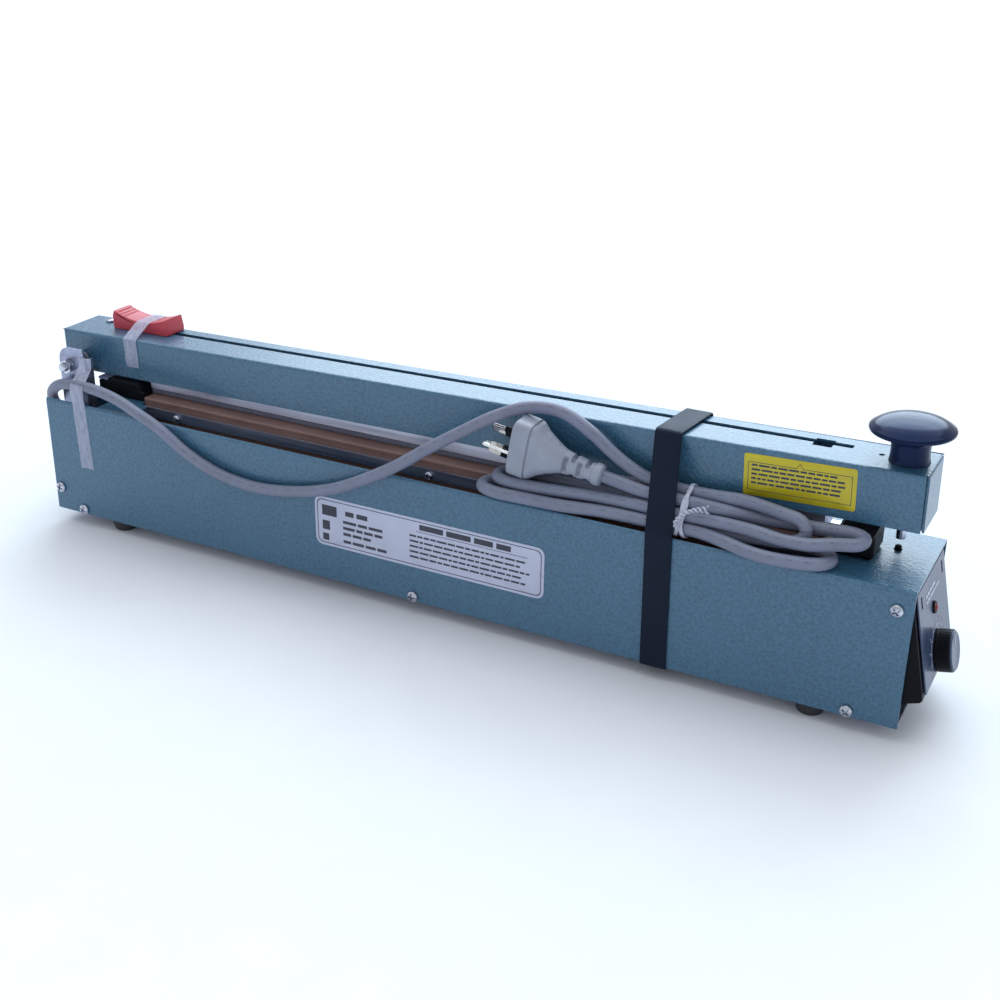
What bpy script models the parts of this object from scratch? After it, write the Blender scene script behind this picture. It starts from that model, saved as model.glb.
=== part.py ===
"""Impulse heat sealer with a sliding film cutter, folded shut and strapped with its lead tied up.

Units are metres, +Z is up and the floor is Z = 0. X runs along the sealer, from its hinge at the left
to its timer at the right, and -Y is the front. X is measured from the middle of the base housing, and
the frame empty moves the whole object so that its outside box is centred on the origin.
"""

import math

import bmesh
import bpy
import numpy as np
from mathutils import Matrix, Vector

# ---- driving dimensions --------------------------------------------------------------------------

GAP = 0.0003  # left between pieces that touch
SHEET = 0.0012  # steel sheet of the base and the arm
FOLD_RADIUS = 0.0020

BASE_LENGTH = 0.545
BASE_DEPTH = 0.0692
BASE_HEIGHT = 0.076
FOOT_HEIGHT = 0.008  # how far the feet reach below the housing
FRAME_SHIFT = -0.0065  # from the middle of the base to the middle of the outside box

ARM_LENGTH = 0.5452
ARM_DEPTH = 0.0339
ARM_MIDDLE_Y = 0.00975
ARM_TILT = math.radians(1.293)  # the closed arm still rises to the right
ARM_ROOF = 0.0176  # roof of the arm above its pivot
ARM_WALL_LEFT = 0.0250  # depth of the arm's side walls at its two ends
ARM_WALL_RIGHT = 0.0302
PIVOT_X = -0.2616
PIVOT_Z = 0.1032
PIVOT_TO_ARM_END = 0.0169
HANDLE_X = 0.5146  # handle and stud, along the arm from the pivot
SLIDE_X = 0.0124  # left end of the cutter's thumb slide, along the arm from the pivot

SEAL_LEFT = -0.211
SEAL_RIGHT = 0.2235
SEAL_TOP = 0.0866  # aluminium bar, under the element and its cloth
GROOVE_Y = (0.0123, 0.0187)  # the cutter's groove behind the sealing face

CORD_DIAMETER = 0.0068

PANEL_TILT = math.radians(12.1)  # the timer's face leans back
PANEL_MIDDLE = (0.2764, 0.0, 0.0541)
KNOB_RISE = -0.0165  # timer knob, up the face from its middle
LAMP_RISE = 0.0074

# ---- values worked out from them -----------------------------------------------------------------

BASE_LEFT = -BASE_LENGTH / 2
BASE_RIGHT = BASE_LENGTH / 2
BASE_FRONT = -BASE_DEPTH / 2
BASE_REAR = BASE_DEPTH / 2
BASE_BOTTOM = FOOT_HEIGHT
BASE_TOP = FOOT_HEIGHT + BASE_HEIGHT
INNER = BASE_REAR - SHEET  # inside face of the long walls
FLOOR_PLATE = BASE_BOTTOM + 0.0004  # underside of the bottom plate
INSIDE_FLOOR = FLOOR_PLATE + SHEET + GAP  # what stands on the bottom plate starts here
ARM_LEFT = -PIVOT_TO_ARM_END  # ends of the arm, along it from the pivot
ARM_RIGHT = ARM_LENGTH - PIVOT_TO_ARM_END
ARM_FRONT = ARM_MIDDLE_Y - ARM_DEPTH / 2
ARM_REAR = ARM_MIDDLE_Y + ARM_DEPTH / 2
SLOT_Y = 0.0156  # cutter slot and blade
CORD_RADIUS = CORD_DIAMETER / 2

PARTS = "impulse_heat_sealer"
CUTTERS = "cutters"
ALONG_X = (math.pi / 2, 0.0, math.pi / 2)  # turns an outline in YZ so that it is extruded along X
ALONG_Y = (math.pi / 2, 0.0, 0.0)  # turns an outline in XZ so that it is extruded along Y
CUT_REACH = 0.004  # how far a cutter reaches past the middle of a sheet, each way
SWITCH_X = 0.253  # microswitch, under the end of the handle's stud


# ---- building blocks -----------------------------------------------------------------------------


def clear_scene():
    for obj in list(bpy.data.objects):
        bpy.data.objects.remove(obj, do_unlink=True)
    for name in (PARTS, CUTTERS):
        bpy.context.scene.collection.children.link(bpy.data.collections.new(name))


def finish(name, colour, roughness, metallic=0.0):
    """A Principled material for one kind of piece."""
    material = bpy.data.materials.new(name)
    material.use_nodes = True
    shader = material.node_tree.nodes["Principled BSDF"]
    shader.inputs["Base Color"].default_value = (*colour, 1.0)
    shader.inputs["Roughness"].default_value = roughness
    shader.inputs["Metallic"].default_value = metallic
    return material


def place(name, data, material, parent, at=(0.0, 0.0, 0.0), turn=(0.0, 0.0, 0.0)):
    """An object for the data: a part when it has a material, and otherwise a hidden cutter."""
    obj = bpy.data.objects.new(name, data)
    obj.parent = parent
    obj.location = at
    obj.rotation_euler = turn
    if material:
        data.materials.append(material)
        bpy.data.collections[PARTS].objects.link(obj)
    else:
        obj.hide_render = True
        obj.display_type = "WIRE"
        bpy.data.collections[CUTTERS].objects.link(obj)
    return obj


def mesh_from(bm, name):
    bmesh.ops.recalc_face_normals(bm, faces=bm.faces)
    mesh = bpy.data.meshes.new(name)
    bm.to_mesh(mesh)
    bm.free()
    return mesh


def frame_empty(name, parent, at, tilt=0.0):
    """An empty whose X axis is tilted up by the angle given."""
    empty = bpy.data.objects.new(name, None)
    empty.parent = parent
    empty.location = at
    empty.rotation_euler = (0.0, -tilt, 0.0)
    bpy.data.collections[PARTS].objects.link(empty)
    return empty


def box(name, low, high, material, parent):
    low = Vector(low)
    high = Vector(high)
    bm = bmesh.new()
    size = Matrix.Diagonal((*(high - low), 1.0))
    bmesh.ops.create_cube(bm, size=1.0, matrix=Matrix.Translation((low + high) / 2) @ size)
    return place(name, mesh_from(bm, name), material, parent)


def rod(name, radius, start, end, material, parent, sides=20):
    """A plain cylinder between two points."""
    start = Vector(start)
    end = Vector(end)
    turn = (end - start).to_track_quat("Z", "Y").to_matrix().to_4x4()
    bm = bmesh.new()
    bmesh.ops.create_cone(
        bm,
        cap_ends=True,
        segments=sides,
        radius1=radius,
        radius2=radius,
        depth=(end - start).length,
        matrix=Matrix.Translation((start + end) / 2) @ turn,
    )
    return place(name, mesh_from(bm, name), material, parent)


def prism(name, outline, low, high, material, parent, turn=(0.0, 0.0, 0.0)):
    """A flat outline extruded from low to high along the axis that the turn gives it."""
    curve = bpy.data.curves.new(name, "CURVE")
    curve.dimensions = "2D"
    curve.fill_mode = "BOTH"
    curve.extrude = (high - low) / 2
    spline = curve.splines.new("POLY")
    spline.points.add(len(outline) - 1)
    for point, (u, v) in zip(spline.points, outline):
        point.co = (u, v, 0.0, 1.0)
    spline.use_cyclic_u = True
    guide = bpy.data.objects.new(name + "_outline", curve)
    bpy.data.collections[CUTTERS].objects.link(guide)
    mesh = bpy.data.meshes.new_from_object(guide.evaluated_get(bpy.context.evaluated_depsgraph_get()))
    bpy.data.objects.remove(guide, do_unlink=True)
    bm = bmesh.new()
    bm.from_mesh(mesh)
    bmesh.ops.remove_doubles(bm, verts=bm.verts, dist=1e-6)
    if turn == ALONG_X:
        middle = Vector(((low + high) / 2, 0.0, 0.0))
    elif turn == ALONG_Y:
        middle = Vector((0.0, (low + high) / 2, 0.0))
    else:
        middle = Vector((0.0, 0.0, (low + high) / 2))
    return place(name, mesh_from(bm, name), material, parent, middle, turn)


def turned(name, profile, material, parent, at=(0.0, 0.0, 0.0), turn=(0.0, 0.0, 0.0), steps=24, ring=False):
    """A profile of (radius, height) points, listed down its outer side, spun round the local Z axis."""
    mesh = bpy.data.meshes.new(name)
    edges = [(i, i + 1) for i in range(len(profile) - 1)]
    if ring:
        edges.append((len(profile) - 1, 0))
    mesh.from_pydata([(radius, 0.0, height) for radius, height in profile], edges, [])
    obj = place(name, mesh, material, parent, at, turn)
    screw = obj.modifiers.new("spin", "SCREW")
    screw.steps = steps
    screw.render_steps = steps
    screw.use_merge_vertices = True
    screw.merge_threshold = 0.0001
    return obj


def folded(name, corners, faces, material, parent):
    """Steel sheet: the outer surface with its folds rounded, thickened inwards."""
    mesh = bpy.data.meshes.new(name)
    mesh.from_pydata(corners, [], faces)
    obj = place(name, mesh, material, parent)
    bevel(obj, FOLD_RADIUS, 3)
    solid = obj.modifiers.new("sheet", "SOLIDIFY")
    solid.thickness = SHEET
    solid.offset = -1.0
    return obj


def tube(name, points, radius, material, parent, cyclic=False, rounds=2):
    curve = bpy.data.curves.new(name, "CURVE")
    curve.dimensions = "3D"
    curve.bevel_depth = radius
    curve.bevel_resolution = rounds
    curve.use_fill_caps = True
    spline = curve.splines.new("POLY")
    spline.points.add(len(points) - 1)
    for point, co in zip(spline.points, points):
        point.co = (*co, 1.0)
    spline.use_cyclic_u = cyclic
    return place(name, curve, material, parent)


def smooth(route, spacing, cyclic=False):
    """Evenly spaced points on a Catmull-Rom curve through the route's own points."""
    route = np.array(route, dtype=float)
    if cyclic:
        padded = np.vstack([route[-1], route, route[:2]])
    else:
        padded = np.vstack([2 * route[0] - route[1], route, 2 * route[-1] - route[-2]])
    t = np.linspace(0.0, 1.0, 21)[:-1, None]
    pieces = []
    for a, b, c, d in zip(padded[:-3], padded[1:-2], padded[2:-1], padded[3:]):
        bend = (-a + 3 * b - 3 * c + d) * t**3 + (2 * a - 5 * b + 4 * c - d) * t**2 + (c - a) * t
        pieces.append(b + bend / 2)
    fine = np.vstack([*pieces, padded[-2]])
    along = np.concatenate([[0.0], np.cumsum(np.linalg.norm(np.diff(fine, axis=0), axis=1))])
    count = max(2, round(along[-1] / spacing) + 1)
    wanted = np.linspace(0.0, along[-1], count)
    points = np.column_stack([np.interp(wanted, along, fine[:, axis]) for axis in range(3)])
    return points[:-1] if cyclic else points


def bevel(obj, width, segments=2):
    modifier = obj.modifiers.new("rounding", "BEVEL")
    modifier.width = width
    modifier.segments = segments
    modifier.limit_method = "ANGLE"
    modifier.angle_limit = math.radians(40)
    return obj


def boolean(obj, other, operation):
    modifier = obj.modifiers.new(operation.lower(), "BOOLEAN")
    modifier.operation = operation
    modifier.solver = "EXACT"
    modifier.object = other
    return obj


def cut(obj, *cutters):
    for cutter in cutters:
        boolean(obj, cutter, "DIFFERENCE")
    return obj


def join(obj, *pieces):
    """Adds helper solids, made without a material, to the object."""
    for piece in pieces:
        boolean(obj, piece, "UNION")
    return obj


def drill(name, spots, radius, depth, parent):
    """One cutter made of a hole along Y through a wall at each (x, y, z) spot."""
    bm = bmesh.new()
    lie_down = Matrix.Rotation(math.pi / 2, 4, "X")
    for spot in spots:
        bmesh.ops.create_cone(
            bm,
            cap_ends=True,
            segments=14,
            radius1=radius,
            radius2=radius,
            depth=depth,
            matrix=Matrix.Translation(spot) @ lie_down,
        )
    return place(name, mesh_from(bm, name), None, parent)


def window(name, near, far, height, parent):
    """Cutter for an opening through a level sheet, between two (x, y) corners."""
    return box(name, (*near, height - CUT_REACH), (*far, height + CUT_REACH), None, parent)


def drill_down(name, radius, spot, height, parent, sides=20):
    """Cutter for a round hole through a level sheet, at an (x, y) spot."""
    top = (*spot, height + CUT_REACH)
    return rod(name, radius, (*spot, height - CUT_REACH), top, None, parent, sides)


def drill_face(name, radius, rise, face):
    """Cutter for a round hole through a face plate, on its middle line."""
    return rod(name, radius, (-0.006, 0.0, rise), (0.006, 0.0, rise), None, face)


def arc(centre, radius, start, end, count):
    """Points on an arc in a plane, with its angles in degrees."""
    angles = np.radians(np.linspace(start, end, count))
    return [(centre[0] + radius * math.cos(a), centre[1] + radius * math.sin(a)) for a in angles]


# ---- base housing --------------------------------------------------------------------------------

HOUSING_SCREWS = {  # (x, z) on the front wall, and again on the rear wall where it says so
    "end_plate": (-0.2680, 0.0232, False),
    "floor_left": (-0.2504, 0.0112, False),
    "floor_middle": (-0.0057, 0.0110, True),
    "floor_right": (0.2466, 0.0113, False),
    "timer": (0.2644, 0.0733, True),
}
SCREW_HEAD = [(0.0, 0.0022), (0.0020, 0.0020), (0.0031, 0.0012), (0.0034, GAP)]
SCREW_SHANK = [(0.0012, GAP), (0.0012, -0.0060), (0.0, -0.0060)]


def base_shell(frame, paint):
    """Front wall, top and rear wall folded from one sheet, open at the bottom and at both ends."""
    rim = [
        (BASE_FRONT, BASE_BOTTOM),
        (BASE_FRONT, BASE_TOP),
        (BASE_REAR, BASE_TOP),
        (BASE_REAR, BASE_BOTTOM),
    ]
    corners = [(x, y, z) for x in (BASE_LEFT, BASE_RIGHT) for y, z in rim]
    faces = [(i, i + 4, i + 5, i + 1) for i in range(3)]
    shell = folded("base_shell", corners, faces, paint, frame)
    slot_rear = 0.0236
    openings = {  # left front corner and right rear corner of each, in the top
        "hinge_bay_cut": ((BASE_LEFT - 0.002, -INNER), (-0.232, INNER)),
        "main_slot_cut": ((-0.206, -INNER), (0.222, slot_rear)),
        "bar_way_cut": ((SEAL_LEFT - 0.0008, -0.0168), (SEAL_RIGHT + 0.0008, slot_rear)),
        "blade_way_cut": ((-0.240, 0.0121), (-0.200, slot_rear)),
    }
    for name, (near, far) in openings.items():
        cut(shell, window(name, near, far, BASE_TOP, frame))
    spot = (SWITCH_X, ARM_MIDDLE_Y)
    return cut(shell, drill_down("button_hole_cut", 0.0023, spot, BASE_TOP, frame))


def bottom_plate(frame, paint):
    edge = INNER - GAP
    lip_top = 0.0160
    rim = [(edge, lip_top), (edge, FLOOR_PLATE), (-edge, FLOOR_PLATE), (-edge, lip_top)]
    corners = [(x, y, z) for x in (BASE_LEFT + 0.0019, BASE_RIGHT - 0.0005) for y, z in rim]
    faces = [(i, i + 4, i + 5, i + 1) for i in range(3)]
    return folded("bottom_plate", corners, faces, paint, frame)


def left_end_plate(frame, paint):
    edge = INNER - GAP
    low = FLOOR_PLATE + 0.0080
    high = 0.0700
    back = BASE_LEFT + 0.0115
    rim = [(back, -edge), (BASE_LEFT + 0.0003, -edge), (BASE_LEFT + 0.0003, edge), (back, edge)]
    corners = [(x, y, z) for z in (low, high) for x, y in rim]
    faces = [(i, i + 1, i + 5, i + 4) for i in range(3)]
    plate = folded("left_end_plate", corners, [tuple(reversed(face)) for face in faces], paint, frame)
    x, y, z = LEAD_EXIT
    lead_hole = rod("lead_hole_cut", 0.0062, (x - 0.006, y, z), (x + 0.006, y, z), None, frame)
    return cut(plate, lead_hole)


def housing_screws(frame, steel, sheets):
    """Pan-head screws through the long walls, with the holes that they need in the sheets behind."""
    profile = SCREW_HEAD + SCREW_SHANK
    spots = []
    for label, (x, z, both_sides) in HOUSING_SCREWS.items():
        front = (x, BASE_FRONT, z)
        turned("screw_front_" + label, profile, steel, frame, front, ALONG_Y, 16)
        spots.append(front)
        if both_sides:
            rear = (x, BASE_REAR, z)
            turned("screw_rear_" + label, profile, steel, frame, rear, (-math.pi / 2, 0.0, 0.0), 16)
            spots.append(rear)
    holes = drill("housing_screw_holes_cut", spots, 0.0015, 0.016, frame)
    for sheet in sheets:
        cut(sheet, holes)


def feet(frame, rubber):
    top = FLOOR_PLATE - GAP
    radius = 0.0085
    profile = [(0.0, top), (radius, top), (radius, top - 0.0018), (0.0070, 0.0008)]
    profile += [(0.0064, 0.0), (0.0, 0.0)]
    for side, y in (("front", -0.0245), ("rear", 0.0245)):
        for end, x in (("left", -0.226), ("right", 0.226)):
            turned(f"rubber_foot_{side}_{end}", profile, rubber, frame, (x, y, 0.0), steps=20)


# ---- seal bar ------------------------------------------------------------------------------------

COVER_TOP = 0.0884
COVER_FRONT = -0.0144
COVER_REAR = 0.0118
CLAMP_SCREW_X = (-0.184, -0.005, 0.174)
CLAMP_SCREW_Z = 0.0797


def seal_bar(frame, metals):
    """The heated jaw: bar with the cutter's groove, insulation, ribbon, cloth and its clamp."""
    low = 0.060
    floor = 0.064
    section = [
        (-0.0134, low),
        (0.0230, low),
        (0.0230, SEAL_TOP),
        (GROOVE_Y[1], SEAL_TOP),
        (GROOVE_Y[1], floor),
        (GROOVE_Y[0], floor),
        (GROOVE_Y[0], SEAL_TOP),
        (-0.0134, SEAL_TOP),
    ]
    bar = prism("seal_bar", section, SEAL_LEFT, SEAL_RIGHT, metals["aluminium"], frame, ALONG_X)
    left = SEAL_LEFT + 0.0005
    right = SEAL_RIGHT - 0.0005
    above = SEAL_TOP + GAP
    tape_high = (right, 0.009, above + 0.0003)
    box("insulation_strip", (left, -0.001, above), tape_high, metals["insulation"], frame)
    above += 0.0003 + GAP
    ribbon_high = (right, 0.0055, above + 0.0002)
    box("heating_element", (left, 0.0025, above), ribbon_high, metals["nichrome"], frame)
    thickness = 0.0004
    hem = 0.073
    cloth = [
        (COVER_FRONT, hem),
        (COVER_FRONT + thickness, hem),
        (COVER_FRONT + thickness, COVER_TOP - thickness),
        (COVER_REAR, COVER_TOP - thickness),
        (COVER_REAR, COVER_TOP),
        (COVER_FRONT, COVER_TOP),
    ]
    cover = prism("ptfe_cover", cloth, left, right, metals["cloth"], frame, ALONG_X)
    face = COVER_FRONT - GAP
    front = face - 0.0014
    strip_low = (left, front, 0.0773)
    strip = box("clamp_strip", strip_low, (right, face, 0.0835), metals["aluminium"], frame)
    spots = [(x, face, CLAMP_SCREW_Z) for x in CLAMP_SCREW_X]
    holes = drill("clamp_screw_holes_cut", spots, 0.0017, 0.022, frame)
    cut(bar, holes)
    cut(cover, holes)
    cut(strip, holes)
    profile = [(0.0, 0.0019), (0.0014, 0.0018), (0.0022, 0.0012), (0.0024, GAP)]
    profile += [(0.0013, GAP), (0.0013, -0.0075), (0.0, -0.0075)]
    for label, x in zip(("left", "middle", "right"), CLAMP_SCREW_X):
        at = (x, front, CLAMP_SCREW_Z)
        turned("clamp_screw_" + label, profile, metals["steel"], frame, at, ALONG_Y, 14)


def end_blocks(frame, plastic):
    """Black moulded blocks that hold the ribbon's ends, standing on the base's top."""
    seat = BASE_TOP + GAP
    front = -0.0120
    left = [(-0.2486, seat), (-0.2122, seat), (-0.2122, 0.0895), (-0.2150, 0.0905), (-0.2160, 0.0950)]
    left += [(-0.2396, 0.0950), (-0.2396, 0.0932), (-0.2486, 0.0932)]
    block = prism("end_block_left", left, front, COVER_REAR, plastic, frame, ALONG_Y)
    bevel(block, 0.0008, 1)
    high = (0.2450, COVER_REAR, 0.0985)
    block = box("end_block_right", (0.2250, front, seat), high, plastic, frame)
    bevel(block, 0.0022, 2)


# ---- hinge ---------------------------------------------------------------------------------------

EAR_FRONT_Y = -0.0220
EAR_REAR_Y = 0.0302
EAR_SHEET = 0.0012
EAR_LEFT = -0.2695
EAR_RIGHT = -0.2495
BOLT_RADIUS = 0.0025


def hinge(frame, metals):
    """Zinc-plated bracket with an ear on each side of the arm, its bolt, nut and return spring."""
    seat = INSIDE_FLOOR
    zinc = metals["zinc"]
    ear = [(EAR_LEFT, seat)]
    ear += arc((PIVOT_X, PIVOT_Z + 0.0035), 0.0079, 180, 90, 6)
    ear += [(EAR_RIGHT - 0.0010, PIVOT_Z + 0.0114), (EAR_RIGHT, PIVOT_Z + 0.0060), (EAR_RIGHT, seat)]
    bracket = prism("hinge_bracket", ear, EAR_FRONT_Y, EAR_FRONT_Y + EAR_SHEET, zinc, frame, ALONG_Y)
    rear_ear = prism("rear_ear_join", ear, EAR_REAR_Y - EAR_SHEET, EAR_REAR_Y, None, frame, ALONG_Y)
    inside = 0.0001  # keeps the joined pieces' faces off each other
    sole_low = (EAR_LEFT + inside, EAR_FRONT_Y + inside, seat + inside)
    sole_high = (EAR_RIGHT - inside, EAR_REAR_Y - inside, seat + EAR_SHEET)
    sole = box("bracket_sole_join", sole_low, sole_high, None, frame)
    flange_low = (EAR_RIGHT - EAR_SHEET, EAR_FRONT_Y + inside, seat + 2 * inside)
    flange_high = (EAR_RIGHT - inside, -0.0140, PIVOT_Z + 0.0042)
    flange = box("bracket_flange_join", flange_low, flange_high, None, frame)
    pivot = [(PIVOT_X, 0.0, PIVOT_Z)]
    hole = drill("hinge_bolt_hole_cut", pivot, BOLT_RADIUS + GAP, 0.080, frame)
    join(bracket, rear_ear, sole, flange)
    cut(bracket, hole)
    tip = 0.0290
    head = EAR_REAR_Y + GAP
    bolt = [(0.0, tip), (0.0020, tip), (BOLT_RADIUS, tip - 0.0006)]
    bolt += [(BOLT_RADIUS, -head - 0.0010), (0.0, -head - 0.0010)]
    shank = turned("hinge_bolt", bolt, metals["steel"], frame, (PIVOT_X, 0.0, PIVOT_Z), ALONG_Y, 16)
    hexagon = [(0.0, 0.0), (0.0046, 0.0), (0.0046, -0.0032), (0.0, -0.0032)]
    top = turned("hinge_bolt_head_join", hexagon, None, frame, (PIVOT_X, head, PIVOT_Z), ALONG_Y, 6)
    join(shank, top)
    washer_face = -EAR_FRONT_Y + GAP
    nut = [(0.0, 0.0040), (0.0046, 0.0040), (0.0046, 0.0), (0.0, 0.0)]
    nut = turned("hinge_nut", nut, metals["steel"], frame, (PIVOT_X, -washer_face, PIVOT_Z), ALONG_Y, 6)
    cut(nut, hole)
    return_spring(frame, metals["spring"])


def return_spring(frame, steel):
    """Torsion coil on the bolt between the front ear and the arm, one leg down and one under the arm."""
    wire = 0.0008
    radius = 0.0050
    turns = 4
    start = EAR_FRONT_Y + EAR_SHEET + wire + GAP
    end = ARM_FRONT - wire - GAP
    angles = np.linspace(-math.pi / 2, (2 * turns - 0.5) * math.pi, turns * 12 + 1)
    ys = np.linspace(start, end, len(angles))
    coil = [(PIVOT_X + radius * math.cos(a), y, PIVOT_Z + radius * math.sin(a)) for a, y in zip(angles, ys)]
    leg_down = [(PIVOT_X - 0.0052, start, PIVOT_Z - 0.0215), (PIVOT_X - 0.0042, start, PIVOT_Z - 0.0060)]
    leg_out = [(PIVOT_X + 0.0048, end, PIVOT_Z - 0.0052), (PIVOT_X + 0.0092, end, PIVOT_Z - 0.0054)]
    tube("return_spring", [*leg_down, *coil, *leg_out], wire, steel, frame, rounds=1)


# ---- inside the base -----------------------------------------------------------------------------


def transformer(frame, metals):
    """E-I core with two windows, and a winding round its middle limb."""
    middle = 0.110
    low = INSIDE_FLOOR
    high = low + 0.044
    yoke = 0.010  # height of the core above and below its windows
    clear = 0.0004
    near = 0.009  # half the middle limb's width, and then where each window ends
    far = 0.021
    core_low = (middle - 0.030, -0.016, low)
    core = box("transformer_core", core_low, (middle + 0.030, 0.016, high), metals["iron"], frame)
    for label, start in (("left", middle - far), ("right", middle + near)):
        window_high = (start + far - near, 0.020, high - yoke)
        name = f"core_window_{label}_cut"
        cut(core, box(name, (start, -0.020, low + yoke), window_high, None, frame))
    reach = far - 0.0005  # half the winding, just inside the outer ends of the windows
    coil_low = (middle - reach, -0.0255, low + yoke + clear)
    coil_high = (middle + reach, 0.0255, high - yoke - clear)
    coil = box("transformer_coil", coil_low, coil_high, metals["copper"], frame)
    bevel(coil, 0.003, 2)
    limb_low = (middle - near - clear, -0.016 - clear, low)
    limb = box("coil_limb_cut", limb_low, (middle + near + clear, 0.016 + clear, high), None, frame)
    cut(coil, limb)


def bar_supports(frame, steel):
    """Folded brackets that carry the seal bar on the bottom plate."""
    low = INSIDE_FLOOR
    high = 0.060 - GAP
    width = 0.018
    for label, x in (("left", -0.150), ("right", 0.180)):
        rim = [(-0.010, low), (-0.010, high), (0.016, high), (0.016, low)]
        corners = [(x + dx, y, z) for dx in (0.0, width) for y, z in rim]
        faces = [(i, i + 4, i + 5, i + 1) for i in range(3)]
        folded("bar_support_" + label, corners, faces, steel, frame)


def switch(frame, metals):
    """Microswitch under the base's top, and its plunger, which the handle's stud presses."""
    x = SWITCH_X
    y = ARM_MIDDLE_Y
    high = (x + 0.005, y + 0.010, 0.0795)
    body = box("microswitch", (x - 0.005, y - 0.010, 0.0660), high, metals["black"], frame)
    bore = rod("switch_bore_cut", 0.0021, (x, y, 0.0745), (x, y, 0.0850), None, frame)
    cut(body, bore)
    guide = frame_empty("plunger_guide", frame, (x, y, 0.0775))
    profile = [(0.0, 0.0093), (0.0012, 0.0090), (0.0018, 0.0082), (0.0018, 0.0), (0.0, 0.0)]
    turned("switch_plunger", profile, metals["red"], guide, steps=14)


# ---- timer ---------------------------------------------------------------------------------------


def timer(frame, metals):
    """Moulded wedge at the right end, with its face plate, lamp, knob and electronics."""
    wall = 0.0020
    top_corner = (0.2705, 0.0816)
    chin = (0.2823, 0.0266)
    outside = [(0.2590, 0.0823), (0.2698, 0.0823), top_corner, chin, (0.2812, 0.0250)]
    outside += [(0.2730, 0.0222), (0.2715, 0.0190), (0.2692, 0.0165), (0.2590, 0.0165)]
    half = INNER - 0.0006
    housing = prism("timer_housing", outside, -half, half, metals["black"], frame, ALONG_Y)
    inside = [(0.2570, 0.0803), (top_corner[0] - wall - 0.0002, 0.0803), (chin[0] - wall - 0.0002, 0.0272)]
    inside += [(0.2710, 0.0242), (0.2690, 0.0185), (0.2570, 0.0185)]
    hollow = prism("timer_hollow_cut", inside, wall - half, half - wall, None, frame, ALONG_Y)
    cut(housing, hollow)

    face = frame_empty("timer_face", frame, PANEL_MIDDLE, PANEL_TILT)
    panel_high = (GAP + 0.001, 0.0295, 0.0268)
    plate = box("timer_panel", (GAP, -0.0295, -0.0268), panel_high, metals["panel"], face)
    bevel(plate, 0.0004, 1)
    shaft_hole = drill_face("knob_shaft_hole_cut", 0.0036, KNOB_RISE, face)
    lamp_hole = drill_face("lamp_hole_cut", 0.0023, LAMP_RISE, face)
    cut(housing, shaft_hole, lamp_hole)
    cut(plate, shaft_hole, lamp_hole)
    for label, y in (("front", -0.0225), ("rear", 0.0225)):
        slot_high = (0.006, y + 0.0012, 0.0230)
        cut(plate, box(f"panel_slot_{label}_cut", (0.0, y - 0.0012, 0.0165), slot_high, None, face))

    outward = (0.0, math.pi / 2, 0.0)
    lamp = [(0.0, 0.0032), (0.0012, 0.0029), (0.0019, 0.0020), (0.0019, -0.0050), (0.0, -0.0050)]
    turned("indicator_lamp", lamp, metals["red"], face, (0.0, 0.0, LAMP_RISE), outward, 14)
    pot = [(0.0085, -0.0030), (0.0085, -0.0145), (0.0034, -0.0145), (0.0034, -0.0030)]
    turned("potentiometer", pot, metals["zinc"], face, (0.0, 0.0, KNOB_RISE), outward, 18, ring=True)
    board_high = (-0.0166, 0.0250, 0.0080)
    box("timer_board", (-0.0180, -0.0250, -0.0210), board_high, metals["board"], face)

    axle = frame_empty("timer_axle", face, (0.0, 0.0, KNOB_RISE))
    seat = 2 * GAP + 0.001
    knob = [(0.0, 0.0094), (0.0104, 0.0094), (0.0110, 0.0088), (0.0110, seat)]
    knob += [(0.0030, seat), (0.0030, -0.0100), (0.0, -0.0100)]
    turned("timer_knob", knob, metals["black"], axle, turn=outward, steps=28)
    cap = [(0.0, 0.0103), (0.0098, 0.0102), (0.0103, 0.0097), (0.0, 0.0097)]
    turned("timer_knob_cap", cap, metals["panel"], axle, turn=outward, steps=28)


# ---- pressing arm --------------------------------------------------------------------------------

ARM_SCREW = (0.0010, 0.0176)  # holds the slot's end, along the arm and across it


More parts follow.
